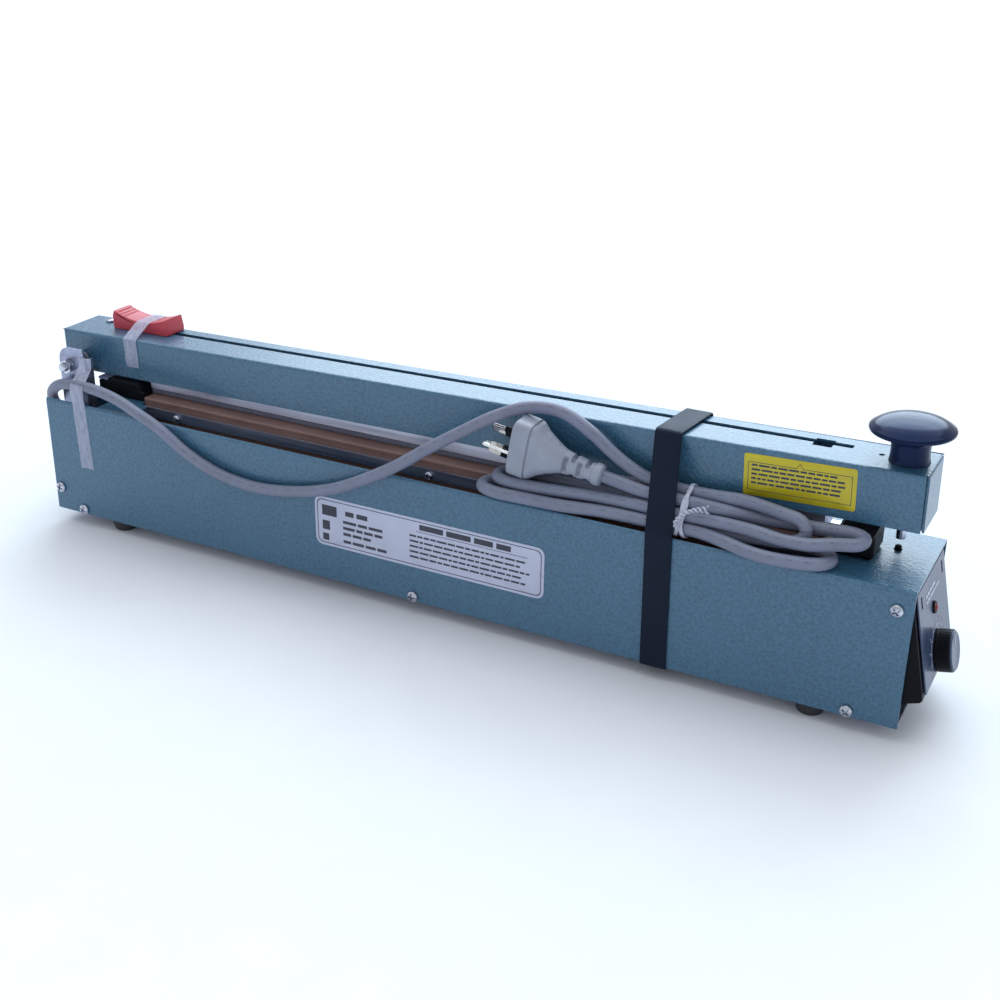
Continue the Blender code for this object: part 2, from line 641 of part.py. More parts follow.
def arm_shell(arm, paint):
    """Channel whose side walls deepen to the right, with a flange folded down at each end."""
    relief = 0.0016  # each fold stops this far from the roof's corners
    roof = [  # (x, y) of the roof's corners in order round it, and the depth of the walls there
        (ARM_LEFT, ARM_FRONT, ARM_WALL_LEFT),
        (ARM_RIGHT, ARM_FRONT, ARM_WALL_RIGHT),
        (ARM_RIGHT, ARM_REAR, ARM_WALL_RIGHT),
        (ARM_LEFT, ARM_REAR, ARM_WALL_LEFT),
    ]
    corners = []
    faces = []
    rim = []
    for (x, y, depth), (next_x, next_y, next_depth) in zip(roof, roof[1:] + roof[:1]):
        corner = Vector((x, y, ARM_ROOF))
        following = Vector((next_x, next_y, ARM_ROOF))
        short = relief * (following - corner).normalized()
        first = len(corners)
        corners += [corner, corner + short, following - short]
        corners += [following - short - Vector((0.0, 0.0, next_depth))]
        corners += [corner + short - Vector((0.0, 0.0, depth))]
        rim += [first, first + 1, first + 2]
        faces.append((first + 2, first + 1, first + 4, first + 3))
    faces.append(rim)
    shell = folded("arm_shell", corners, faces, paint, arm)
    slot_low = (0.0080, SLOT_Y - 0.0022)
    slot = window("cutter_slot_cut", slot_low, (0.4855, SLOT_Y + 0.0022), ARM_ROOF, arm)
    notch = window("cutter_notch_cut", (0.4656, 0.0095), (0.4756, 0.0195), ARM_ROOF, arm)
    stud_hole = drill_down("stud_hole_cut", 0.0028, (HANDLE_X, ARM_MIDDLE_Y), ARM_ROOF, arm)
    sight_hole = drill_down("sight_hole_cut", 0.0015, (0.5006, 0.0116), ARM_ROOF, arm, 12)
    screw_hole = drill_down("arm_screw_hole_cut", 0.0018, ARM_SCREW, ARM_ROOF, arm, 12)
    pivot = drill("arm_pivot_hole_cut", [(0.0, ARM_MIDDLE_Y, 0.0)], BOLT_RADIUS + GAP, 0.060, arm)
    return cut(shell, slot, notch, stud_hole, sight_hole, screw_hole, pivot)


def handle(arm, metals):
    """Mushroom knob on its stud, whose lower end presses the microswitch."""
    cap = [(0.0, 0.0235), (0.0075, 0.0230), (0.0140, 0.0215), (0.0189, 0.0193), (0.0212, 0.0172)]
    under = [(0.0204, 0.0160), (0.0160, 0.0142), (0.0108, 0.0125), (0.0099, 0.0105)]
    neck = [(0.0097, 0.0050), (0.0102, GAP), (0.0028, GAP), (0.0028, 0.0120), (0.0, 0.0120)]
    at = (HANDLE_X, ARM_MIDDLE_Y, ARM_ROOF)
    turned("handle_knob", cap + under + neck, metals["knob"], arm, at, steps=28)
    stud_foot = (HANDLE_X, ARM_MIDDLE_Y, -0.0242)
    stud_head = (HANDLE_X, ARM_MIDDLE_Y, ARM_ROOF + 0.0115)
    rod("handle_stud", 0.0025, stud_foot, stud_head, metals["steel"], arm, 14)
    screw = [(0.0, 0.0016), (0.0022, 0.0012), (0.0027, GAP)]
    screw += [(0.0015, GAP), (0.0015, -0.0050), (0.0, -0.0050)]
    turned("arm_screw", screw, metals["steel"], arm, (*ARM_SCREW, ARM_ROOF), steps=14)


def pressing_bar(arm, metals):
    """Aluminium bar with its silicone facing, held level inside the tilted arm."""
    level = frame_empty("level_bar", arm, (0.0, 0.0, 0.0), -ARM_TILT)
    left = -0.212 - PIVOT_X
    right = 0.218 - PIVOT_X
    front = -0.0052
    facing = COVER_TOP + GAP - PIVOT_Z
    rubber_high = (right - 0.001, 0.0090, facing + 0.0028)
    box("silicone_facing", (left + 0.001, front, facing), rubber_high, metals["silicone"], level)
    bar_low = facing + 0.0028 + GAP
    bar_high = (right, 0.0112, bar_low + 0.0121)
    box("pressure_bar", (left, front, bar_low), bar_high, metals["aluminium"], level)


# ---- film cutter ---------------------------------------------------------------------------------


def cutter(arm, metals):
    """Thumb slide on the arm's roof, with a blade below it that hangs down into the groove."""
    slide = frame_empty("cutter_slide", arm, (SLIDE_X, SLOT_Y, ARM_ROOF))
    length = 0.0442
    low = 0.0068
    saddle = [(x, low + 10.1 * (x - 0.0235) ** 2) for x in np.linspace(length - 0.0015, 0.0015, 12)]
    outline = [(0.0008, GAP), (length - 0.0008, GAP), (length, 0.0040), *saddle, (0.0, 0.0080)]
    grip = prism("cutter_slider", outline, -0.008, 0.008, metals["red"], slide, ALONG_Y)
    bevel(grip, 0.0007, 1)
    stem_low = (0.0140, -0.0016, -SHEET - GAP)
    stem = box("slider_stem_join", stem_low, (0.0300, 0.0016, 0.0030), None, slide)
    join(grip, stem)
    roof = -SHEET - 2 * GAP
    holder = box("blade_holder", (0.0070, -0.0041, -0.0190), (0.0370, 0.0041, roof), metals["black"], slide)
    bevel(holder, 0.0006, 1)
    slit = box("blade_slit_cut", (0.0020, -0.0006, -0.0300), (0.0420, 0.0006, -0.0060), None, slide)
    cut(holder, slit)
    edge = [(0.0120, -0.0065), (0.0120, -0.0400), (0.0170, -0.0450)]
    edge += [(0.0270, -0.0450), (0.0320, -0.0400), (0.0320, -0.0065)]
    prism("cutter_blade", edge, -0.0003, 0.0003, metals["steel"], slide, ALONG_Y)


# ---- lead and its plug, strap --------------------------------------------------------------------

GLAND_LENGTH = 0.0036
LEAD_EXIT = (BASE_LEFT + 0.0003, 0.0220, 0.0480)  # through the left end plate
HANK_LEFT = 0.031
HANK_RIGHT = 0.246
HANK_STEP = 0.152  # right of it the hank is twice as high, and the two leads run into its step
HANK_LOW = BASE_TOP + 0.0004
LEAD_ROUTE = [
    (LEAD_EXIT[0] - GLAND_LENGTH - GAP, 0.0220, 0.0480),
    (-0.2875, 0.0218, 0.0482),
    (-0.2918, 0.0185, 0.0490),
    (-0.2922, 0.0120, 0.0508),
    (-0.2885, 0.0045, 0.0538),
    (-0.2842, -0.0040, 0.0585),
    (-0.2805, -0.0120, 0.0645),
    (-0.2776, -0.0190, 0.0712),
    (-0.2757, -0.0248, 0.0785),
    (-0.2725, -0.0285, 0.0860),
    (-0.2655, -0.0300, 0.0918),
    (-0.2500, -0.0303, 0.0944),
    (-0.2320, -0.0310, 0.0940),
    (-0.2130, -0.0335, 0.0916),
    (-0.1980, -0.0368, 0.0885),
    (-0.1800, -0.0388, 0.0825),
    (-0.1600, -0.0388, 0.0705),
    (-0.1380, -0.0388, 0.0620),
    (-0.1120, -0.0388, 0.0586),
    (-0.0840, -0.0388, 0.0615),
    (-0.0540, -0.0388, 0.0700),
    (-0.0320, -0.0388, 0.0810),
    (-0.0140, -0.0375, 0.0915),
    (0.0040, -0.0325, 0.1040),
    (0.0220, -0.0265, 0.1155),
    (0.0390, -0.0200, 0.1255),
    (0.0560, -0.0150, 0.1320),
    (0.0740, -0.0140, 0.1328),
    (0.0920, -0.0145, 0.1250),
    (0.1080, -0.0150, 0.1140),
    (0.1240, -0.0148, 0.1060),
    (0.1380, -0.0143, 0.1033),
    (HANK_STEP - GAP, -0.0142, 0.1028),
]
PLUG_FACE = (0.0520, -0.0215, 0.1130)
PLUG_TILT = math.radians(9.5)
PLUG_LENGTH = 0.052


def gland(frame, rubber):
    """Tapered strain relief pushed through the left end plate."""
    bore = CORD_RADIUS + GAP
    profile = [(0.0056, GLAND_LENGTH), (0.0072, 0.0032), (0.0085, 0.0022), (0.0085, GAP)]
    profile += [(0.0058, GAP), (0.0058, -0.0045), (bore, -0.0045), (bore, GLAND_LENGTH)]
    turned("cord_gland", profile, rubber, frame, LEAD_EXIT, (0.0, -math.pi / 2, 0.0), 20, ring=True)


def power_lead(frame, vinyl):
    """The loose stretch from the gland, the tied hank, and the short lead back to the plug."""
    tube("power_cord", smooth(LEAD_ROUTE, 0.0155), CORD_RADIUS, vinyl, frame)
    hank(frame, vinyl)
    tail = Vector(PLUG_FACE) + (PLUG_LENGTH + GAP) * plug_axis()
    route = [
        tail,
        tail + 0.010 * plug_axis(),
        (0.1240, -0.0203, 0.1003),
        (0.1360, -0.0203, 0.0997),
        (HANK_STEP - GAP, -0.0204, 0.0996),
    ]
    tube("plug_lead", smooth(route, 0.012), CORD_RADIUS, vinyl, frame)


def hank(frame, vinyl):
    """Outer shape of the tied coils: a long loop pinched at its waist, with more turns at the right."""
    rear = COVER_FRONT - 0.0022
    front = -0.0366
    waist = -0.0268
    radius = (rear - front) / 2
    middle = (rear + front) / 2
    outline = arc((HANK_LEFT + radius, middle), radius, 90, 270, 8)
    outline += [(0.075, front), (0.118, waist), (HANK_STEP, waist), (0.185, front)]
    outline += arc((HANK_RIGHT - radius - 0.001, middle), radius, -90, 90, 8)
    coils = prism("cord_hank", outline, HANK_LOW, 0.0954, vinyl, frame)
    rear = -0.0126
    front = -0.0340
    radius = (rear - front) / 2
    outline = [(0.223, rear), (0.223, -0.0106), (HANK_STEP, -0.0106), (HANK_STEP, waist), (0.180, front)]
    outline += arc((HANK_RIGHT - radius, (rear + front) / 2), radius, -90, 90, 8)
    upper = prism("upper_turns_join", outline, COVER_TOP + 0.0005, 0.1083, None, frame)
    join(coils, upper)


def plug_axis():
    """Unit vector from the plug's face back along its body."""
    return Vector((math.cos(PLUG_TILT), 0.0, -math.sin(PLUG_TILT)))


def plug(frame, vinyl, brass):
    """Moulded three-pin plug: a body lofted from a flat face to a round tail, and its pins."""
    body = frame_empty("plug_frame", frame, PLUG_FACE, -PLUG_TILT)
    stations = [  # along the body, half width up the face, half thickness, and how square the section is
        (0.0000, 0.0152, 0.0092, 4.0),
        (0.0010, 0.0160, 0.0098, 4.0),
        (0.0085, 0.0160, 0.0098, 4.0),
        (0.0100, 0.0150, 0.0090, 3.0),
        (0.0210, 0.0100, 0.0080, 2.4),
        (0.0260, 0.0078, 0.0070, 2.2),
        (0.0300, 0.0066, 0.0062, 2.0),
        (PLUG_LENGTH, 0.0048, 0.0048, 2.0),
    ]
    sides = 20
    bm = bmesh.new()
    rings = []
    for x, tall, thick, square in stations:
        ring = []
        for k in range(sides):
            a = 2 * math.pi * k / sides
            y = thick * math.copysign(abs(math.cos(a)) ** (2 / square), math.cos(a))
            z = tall * math.copysign(abs(math.sin(a)) ** (2 / square), math.sin(a))
            ring.append(bm.verts.new((x, y, z)))
        rings.append(ring)
    for ring, following in zip(rings[:-1], rings[1:]):
        for k in range(sides):
            bm.faces.new((ring[k], ring[(k + 1) % sides], following[(k + 1) % sides], following[k]))
    bm.faces.new(rings[0])
    bm.faces.new(reversed(rings[-1]))
    place("plug_body", mesh_from(bm, "plug_body"), vinyl, body)
    pin_length = 0.0170
    wide = 0.0030  # half the width and half the thickness of a flat pin
    thin = 0.0008
    pins = {  # place across the face and up it, half size across and up, and slant
        "live": (0.0040, 0.0025, thin, wide, 30),
        "neutral": (0.0040, -0.0095, thin, wide, -30),
        "earth": (-0.0052, -0.0035, wide, thin, 0),
    }
    for label, (across, rise, half_y, half_z, slant) in pins.items():
        low = (-pin_length, -half_y, -half_z)
        pin = box(f"plug_pin_{label}", low, (-GAP, half_y, half_z), brass, body)
        pin.location = (0.0, across, rise)
        pin.rotation_euler = (math.radians(slant), 0.0, 0.0)


def twist_tie(frame, white):
    """Coated wire round the hank and the two leads above it."""
    x = 0.1500
    loop = [
        (x, -0.0276, 0.0852),
        (x, -0.0277, 0.0950),
        (x, -0.0247, 0.1012),
        (x, -0.0192, 0.1053),
        (x, -0.0142, 0.1070),
        (x, -0.0109, 0.1052),
        (x, -0.0099, 0.1010),
        (x, -0.0112, 0.0966),
        (x, -0.0142, 0.0942),
        (x, -0.0157, 0.0918),
    ]
    tube("twist_tie", smooth(loop, 0.0026), 0.0005, white, frame, rounds=1)


def retaining_strap(frame, black):
    """Elastic band pulled tight round the arm and the base, slightly askew."""
    width = 0.0148
    clear = 0.0004
    roof = 0.1303
    side = BASE_REAR + clear
    under = BASE_BOTTOM - clear
    path = [  # (x of the band's middle, y, z) at each place where the band bends
        (0.1332, ARM_FRONT - clear, roof),
        (0.1412, -side, BASE_TOP + clear),
        (0.1425, -side, under),
        (0.1410, side, under),
        (0.1400, side, BASE_TOP + clear),
        (0.1371, ARM_REAR + clear, roof),
    ]
    corners = [(x + edge, y, z) for edge in (-width / 2, width / 2) for x, y, z in path]
    count = len(path)
    faces = [(i, (i + 1) % count, (i + 1) % count + count, i + count) for i in range(count)]
    mesh = bpy.data.meshes.new("retaining_strap")
    mesh.from_pydata(corners, [], faces)
    band = place("retaining_strap", mesh, black, frame)
    bevel(band, 0.0008, 2)
    solid = band.modifiers.new("webbing", "SOLIDIFY")
    solid.thickness = 0.0011
    solid.offset = 1.0


# ---- everything ----------------------------------------------------------------------------------


def smooth_round_pieces():
    for obj in bpy.data.collections[PARTS].objects:
        if obj.type == "MESH":
            obj.data.shade_smooth()
            obj.data.set_sharp_from_angle(angle=math.radians(35))
        for modifier in obj.modifiers:
            if modifier.type == "SCREW":
                modifier.use_smooth_shade = True


def main():
    clear_scene()
    metals = {
        "paint": finish("hammertone_paint", (0.075, 0.150, 0.190), 0.35),
        "steel": finish("bright_steel", (0.72, 0.73, 0.76), 0.25, 1.0),
        "zinc": finish("zinc_plate", (0.55, 0.56, 0.62), 0.40, 1.0),
        "spring": finish("spring_steel", (0.30, 0.30, 0.32), 0.35, 1.0),
        "aluminium": finish("aluminium", (0.62, 0.62, 0.72), 0.38, 1.0),
        "insulation": finish("glass_tape", (0.75, 0.73, 0.65), 0.70),
        "nichrome": finish("nichrome", (0.35, 0.33, 0.32), 0.35, 1.0),
        "cloth": finish("ptfe_cloth", (0.21, 0.12, 0.10), 0.45),
        "silicone": finish("silicone", (0.13, 0.14, 0.20), 0.60),
        "black": finish("black_plastic", (0.012, 0.014, 0.022), 0.40),
        "knob": finish("navy_plastic", (0.020, 0.026, 0.055), 0.30),
        "red": finish("coral_plastic", (0.55, 0.06, 0.08), 0.40),
        "panel": finish("panel_film", (0.36, 0.38, 0.58), 0.30, 0.6),
        "iron": finish("core_iron", (0.16, 0.16, 0.17), 0.50, 0.8),
        "copper": finish("winding_tape", (0.60, 0.45, 0.12), 0.50),
        "board": finish("circuit_board", (0.04, 0.16, 0.07), 0.50),
        "rubber": finish("foot_rubber", (0.045, 0.048, 0.055), 0.80),
        "vinyl": finish("grey_vinyl", (0.30, 0.31, 0.42), 0.45),
        "webbing": finish("black_elastic", (0.008, 0.009, 0.014), 0.75),
        "brass": finish("plug_brass", (0.75, 0.70, 0.62), 0.25, 1.0),
        "white": finish("tie_plastic", (0.75, 0.75, 0.80), 0.50),
    }
    frame = frame_empty("sealer_frame", None, (FRAME_SHIFT, 0.0, 0.0))
    shell = base_shell(frame, metals["paint"])
    floor = bottom_plate(frame, metals["zinc"])
    end = left_end_plate(frame, metals["paint"])
    seal_bar(frame, metals)
    end_blocks(frame, metals["black"])
    hinge(frame, metals)
    transformer(frame, metals)
    bar_supports(frame, metals["zinc"])
    switch(frame, metals)
    timer(frame, metals)
    housing_screws(frame, metals["steel"], (shell, floor, end, bpy.data.objects["timer_housing"]))
    feet(frame, metals["rubber"])

    arm = frame_empty("arm_pivot", frame, (PIVOT_X, 0.0, PIVOT_Z), ARM_TILT)
    arm_shell(arm, metals["paint"])
    handle(arm, metals)
    pressing_bar(arm, metals)
    cutter(arm, metals)

    gland(frame, metals["rubber"])
    power_lead(frame, metals["vinyl"])
    plug(frame, metals["vinyl"], metals["brass"])
    twist_tie(frame, metals["white"])
    retaining_strap(frame, metals["webbing"])
    smooth_round_pieces()
    bpy.context.view_layer.update()


main()
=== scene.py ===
"""Impulse heat sealer with a sliding film cutter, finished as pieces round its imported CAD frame.

Lengths are in metres, X runs along the sealer from hinge to timer, -Y is the front and the floor is Z = 0.
"""

import math

import bmesh
import bpy
import numpy as np
from mathutils import Matrix, Vector


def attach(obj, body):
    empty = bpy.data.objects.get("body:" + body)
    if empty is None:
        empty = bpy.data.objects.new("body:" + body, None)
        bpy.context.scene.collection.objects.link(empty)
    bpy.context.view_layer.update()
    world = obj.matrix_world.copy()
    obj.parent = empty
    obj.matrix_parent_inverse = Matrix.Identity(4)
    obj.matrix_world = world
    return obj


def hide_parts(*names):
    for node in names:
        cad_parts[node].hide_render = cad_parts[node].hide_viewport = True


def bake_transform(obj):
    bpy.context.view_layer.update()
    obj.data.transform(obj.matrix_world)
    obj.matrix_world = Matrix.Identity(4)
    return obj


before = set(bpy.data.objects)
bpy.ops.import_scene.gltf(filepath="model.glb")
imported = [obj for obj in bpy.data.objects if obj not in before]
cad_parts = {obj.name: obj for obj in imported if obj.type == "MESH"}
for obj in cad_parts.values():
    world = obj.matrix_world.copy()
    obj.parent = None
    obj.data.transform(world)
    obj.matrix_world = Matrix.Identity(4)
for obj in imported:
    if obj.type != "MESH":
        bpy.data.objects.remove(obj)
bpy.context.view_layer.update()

bl_info = {
    "name": "Impulse heat sealer",
    "version": (1, 0, 0),
    "blender": (4, 5, 0),
    "location": "3D View > Sidebar > Sealer",
    "description": "Makes the finished pieces of a strapped impulse heat sealer round its CAD frame",
    "category": "Object",
}

# ---- places that the pieces share with the CAD ---------------------------------------------------

FRAME_SHIFT = Vector((-0.0065, 0.0, 0.0))  # from the middle of the housing to the middle of the outside box
BASE_FRONT = -0.0346
BASE_REAR = 0.0346
BASE_TOP = 0.0840
BASE_BOTTOM = 0.0080
ARM_FRONT = -0.0072
ARM_REAR = 0.0267
ARM_MIDDLE = 0.00975
ARM_ROOF = 0.0176  # above the arm's pivot
ARM_LEFT = -0.0169  # ends of the arm, along it from the pivot
ARM_RIGHT = 0.5283
HANDLE_X = 0.5146  # handle, along the arm from the pivot
PIVOT = Vector((-0.2616, 0.0, 0.1032))
SLOT_Y = 0.0156
GAP = 0.0003

HOUSING = Matrix.Translation(FRAME_SHIFT)
ARM = HOUSING @ Matrix.Translation(PIVOT) @ Matrix.Rotation(-math.radians(1.293), 4, "Y")
SLIDE = ARM @ Matrix.Translation((0.0124, SLOT_Y, ARM_ROOF))
DIAL = HOUSING @ Matrix.Translation((0.2764, 0.0, 0.0541)) @ Matrix.Rotation(-math.radians(12.1), 4, "Y")
PLUG = HOUSING @ Matrix.Translation((0.0520, -0.0215, 0.1130)) @ Matrix.Rotation(math.radians(9.5), 4, "Y")
PLUG_LENGTH = 0.052
KNOB_RISE = -0.0165
LAMP_RISE = 0.0074

ALONG_FRONT = Matrix.Rotation(math.pi / 2, 4, "X")  # turns a piece made round Z to point out of the front
ALONG_REAR = Matrix.Rotation(-math.pi / 2, 4, "X")
ALONG_X = Matrix.Rotation(math.pi / 2, 4, "Y")

LEAD_EXIT = (-0.2722, 0.0220, 0.0480)
LOOSE_LEAD = [  # the part's own route, from the strain relief to the tied hank
    (-0.2761, 0.0220, 0.0480),
    (-0.2875, 0.0218, 0.0482),
    (-0.2918, 0.0185, 0.0490),
    (-0.2922, 0.0120, 0.0508),
    (-0.2885, 0.0045, 0.0538),
    (-0.2842, -0.0040, 0.0585),
    (-0.2805, -0.0120, 0.0645),
    (-0.2776, -0.0190, 0.0712),
    (-0.2757, -0.0248, 0.0785),
    (-0.2725, -0.0285, 0.0860),
    (-0.2655, -0.0300, 0.0918),
    (-0.2500, -0.0303, 0.0944),
    (-0.2320, -0.0310, 0.0940),
    (-0.2130, -0.0335, 0.0916),
    (-0.1980, -0.0368, 0.0885),
    (-0.1800, -0.0388, 0.0825),
    (-0.1600, -0.0388, 0.0705),
    (-0.1380, -0.0388, 0.0620),
    (-0.1120, -0.0388, 0.0586),
    (-0.0840, -0.0388, 0.0615),
    (-0.0540, -0.0388, 0.0700),
    (-0.0320, -0.0388, 0.0810),
    (-0.0140, -0.0375, 0.0915),
    (0.0040, -0.0325, 0.1040),
    (0.0220, -0.0265, 0.1155),
    (0.0390, -0.0200, 0.1255),
    (0.0560, -0.0150, 0.1320),
    (0.0740, -0.0140, 0.1328),
    (0.0920, -0.0145, 0.1250),
    (0.1080, -0.0150, 0.1140),
    (0.1240, -0.0148, 0.1060),
    (0.1380, -0.0143, 0.1033),
    (0.1517, -0.0142, 0.1028),
]
TOP_RIGHT_TURN = [
    (0.165, -0.0146, 0.1034),
    (0.178, -0.0156, 0.1046),
    (0.190, -0.0164, 0.1038),
    (0.203, -0.0192, 0.1032),
    (0.2085, -0.0205, 0.1031),
    (0.2124, -0.0216, 0.1015),
    (0.2140, -0.0227, 0.0977),
    (0.2124, -0.0236, 0.0938),
    (0.2085, -0.0242, 0.0922),
    (0.190, -0.0246, 0.0900),
    (0.178, -0.0236, 0.0882),
    (0.162, -0.0208, 0.0874),
    (0.142, -0.0206, 0.0874),
]
LOW_LEFT_TURN = [
    (0.125, -0.0206, 0.0874),
    (0.095, -0.0193, 0.0874),
    (0.064, -0.0180, 0.0874),
    (0.0415, -0.0180, 0.0874),
    (0.0363, -0.0201, 0.0874),
    (0.0342, -0.0253, 0.0874),
    (0.0363, -0.0304, 0.0874),
    (0.0415, -0.0326, 0.0874),
    (0.064, -0.0330, 0.0874),
    (0.085, -0.0320, 0.0874),
    (0.105, -0.0285, 0.0874),
    (0.125, -0.0275, 0.0874),
    (0.142, -0.0276, 0.0874),
]
LOW_RIGHT_TURN = [
    (0.162, -0.0278, 0.0874),
    (0.175, -0.0315, 0.0874),
    (0.190, -0.0363, 0.0870),
    (0.200, -0.0370, 0.0868),
    (0.2125, -0.0362, 0.0871),
    (0.2205, -0.0347, 0.0873),
    (0.2262, -0.0318, 0.0874),
    (0.2289, -0.0265, 0.0874),
    (0.2262, -0.0212, 0.0874),
    (0.2205, -0.0184, 0.0876),
    (0.205, -0.0178, 0.0882),
    (0.190, -0.0176, 0.0902),
    (0.178, -0.0172, 0.0909),
    (0.165, -0.0169, 0.0932),
    (0.142, -0.0169, 0.0935),
]
HIGH_LEFT_TURN = [
    (0.125, -0.0169, 0.0935),
    (0.095, -0.0150, 0.0931),
    (0.064, -0.0130, 0.0926),
    (0.048, -0.0140, 0.0926),
    (0.0432, -0.0160, 0.0925),
    (0.0412, -0.0208, 0.0924),
    (0.0432, -0.0256, 0.0924),
    (0.048, -0.0276, 0.0925),
    (0.061, -0.0282, 0.0926),
    (0.082, -0.0260, 0.0926),
    (0.102, -0.0235, 0.0930),
    (0.142, -0.0241, 0.0935),
]
HIGH_RIGHT_TURN = [
    (0.162, -0.0241, 0.0936),
    (0.175, -0.0262, 0.0946),
    (0.190, -0.0290, 0.0954),
    (0.205, -0.0308, 0.0946),
    (0.211, -0.0310, 0.0950),
    (0.218, -0.0305, 0.0953),
    (0.224, -0.0285, 0.0960),
    (0.232, -0.0260, 0.0970),
    (0.2375, -0.0258, 0.0977),
    (0.2412, -0.0244, 0.0982),
    (0.2427, -0.0208, 0.0986),
    (0.2412, -0.0171, 0.0989),
    (0.2375, -0.0156, 0.0990),
    (0.228, -0.0155, 0.0990),
    (0.218, -0.0153, 0.0980),
    (0.205, -0.0150, 0.0975),
    (0.190, -0.0154, 0.0968),
    (0.178, -0.0176, 0.0978),
    (0.165, -0.0202, 0.0992),
    (0.158, -0.0204, 0.0996),
]
PLUG_LEAD = [
    (0.135, -0.0203, 0.0997),
    (0.124, -0.0203, 0.1003),
    (0.11344, -0.0215, 0.10272),
    (0.10330, -0.0215, 0.10442),
]
WAIST_STRANDS = [  # (y, z) of the strands' middles where the tie holds them
    (-0.0276, 0.0874),
    (-0.0206, 0.0874),
    (-0.0241, 0.0935),
    (-0.0169, 0.0935),
    (-0.0204, 0.0996),
    (-0.0142, 0.1027),
]

# (x, z) of the pan-head screws through the housing's front wall, and those that the rear wall has too
FRONT_SCREWS = {
    "end_plate": (-0.2680, 0.0232),
    "floor_left": (-0.2504, 0.0112),
    "floor_middle": (-0.0057, 0.0110),
    "floor_right": (0.2466, 0.0113),
    "timer": (0.2644, 0.0733),
}
REAR_SCREWS = ("floor_middle", "timer")
CLAMP_SCREWS = {"left": -0.184, "middle": -0.005, "right": 0.174}

# CAD nodes that keep their shape, under the finish that each gets
KEPT_NODES = {
    "hammertone_paint": ("arm_shell", "base_shell", "left_end_plate"),
    "zinc": ("bottom_plate", "hinge_bracket", "bar_support_left", "bar_support_right", "potentiometer"),
    "steel": ("hinge_bolt", "handle_stud", "cutter_blade"),
    "aluminium": ("seal_bar", "clamp_strip", "pressure_bar"),
    "glass_tape": ("insulation_strip",),
    "nichrome": ("heating_element",),
    "silicone": ("silicone_facing",),
    "black_plastic": (
        "end_block_left",
        "end_block_right",
        "timer_housing",
        "blade_holder",
        "microswitch",
        "switch_plunger",
    ),
    "panel_film": ("timer_panel",),
    "core_iron": ("transformer_core",),
    "winding_tape": ("transformer_coil",),
    "circuit_board": ("timer_board",),
}


# ---- settings ------------------------------------------------------------------------------------


def length(label, about, default):
    return bpy.props.FloatProperty(name=label, description=about, default=default, min=0.0, unit="LENGTH")


def colour(label, about, default):
    return bpy.props.FloatVectorProperty(
        name=label, description=about, default=default, size=3, min=0.0, max=1.0, subtype="COLOR"
    )


class SealerSizes(bpy.types.PropertyGroup):
    """Sizes of the finished pieces that the CAD leaves open."""

    cord_diameter: length("Lead diameter", "Outside diameter of the mains lead", 0.0068)
    cord_length: length("Lead length", "Length of the lead from the housing to the plug", 1.545)
    relief_length: length("Strain relief", "Length of the tapered sleeve outside the housing", 0.024)
    strap_width: length("Strap width", "Width of the elastic strap", 0.0148)
    strap_thickness: length("Strap thickness", "Thickness of the elastic strap", 0.0011)
    cloth_thickness: length("Cloth thickness", "Thickness of the coated cloth over the ribbon", 0.00015)
    tape_width: length("Tape width", "Width of the clear transit tapes", 0.0100)
    handle_radius: length("Handle radius", "Radius of the mushroom handle's cap", 0.0212)
    knob_radius: length("Timer knob radius", "Radius of the timer knob", 0.0110)


class SealerColours(bpy.types.PropertyGroup):
    """Colours of the finishes that a user is likely to change."""

    paint: colour("Hammertone paint", "Enamel of the housing and the arm", (0.046, 0.142, 0.238))
    paint_dark: colour("Hammertone speckle", "Dark speckle in the enamel", (0.024, 0.082, 0.145))
    grip: colour("Cutter grip", "Plastic of the cutter's thumb slide", (0.62, 0.060, 0.085))
    lead: colour("Lead", "Vinyl of the mains lead", (0.190, 0.214, 0.300))
    strap: colour("Strap", "Elastic of the retaining strap", (0.0030, 0.0040, 0.0080))
    front_label: colour("Front label", "Film of the rating label", (0.52, 0.55, 0.70))
    arm_label: colour("Arm label", "Film of the arm's label", (0.60, 0.50, 0.020))


# ---- shapes --------------------------------------------------------------------------------------


def grid_faces(rows, columns):
    """Quads between the neighbours of a rows x columns grid."""
    i, j = np.meshgrid(np.arange(rows - 1), np.arange(columns - 1), indexing="ij")
    here, ahead = i * columns + j, (i + 1) * columns + j
    return np.stack([here, ahead, ahead + 1, here + 1], -1).reshape(-1, 4)

def surface(points, uv=None):
    """(points, faces, uv) of an open grid of points; seams and poles are welded when it becomes a mesh."""
    rows, columns = points.shape[:2]
    if uv is None:
        u, v = np.meshgrid(np.linspace(0, 1, rows), np.linspace(0, 1, columns), indexing="ij")
        uv = np.stack([u, v], -1)
    return points.reshape(-1, 3), grid_faces(rows, columns), uv.reshape(-1, 2)


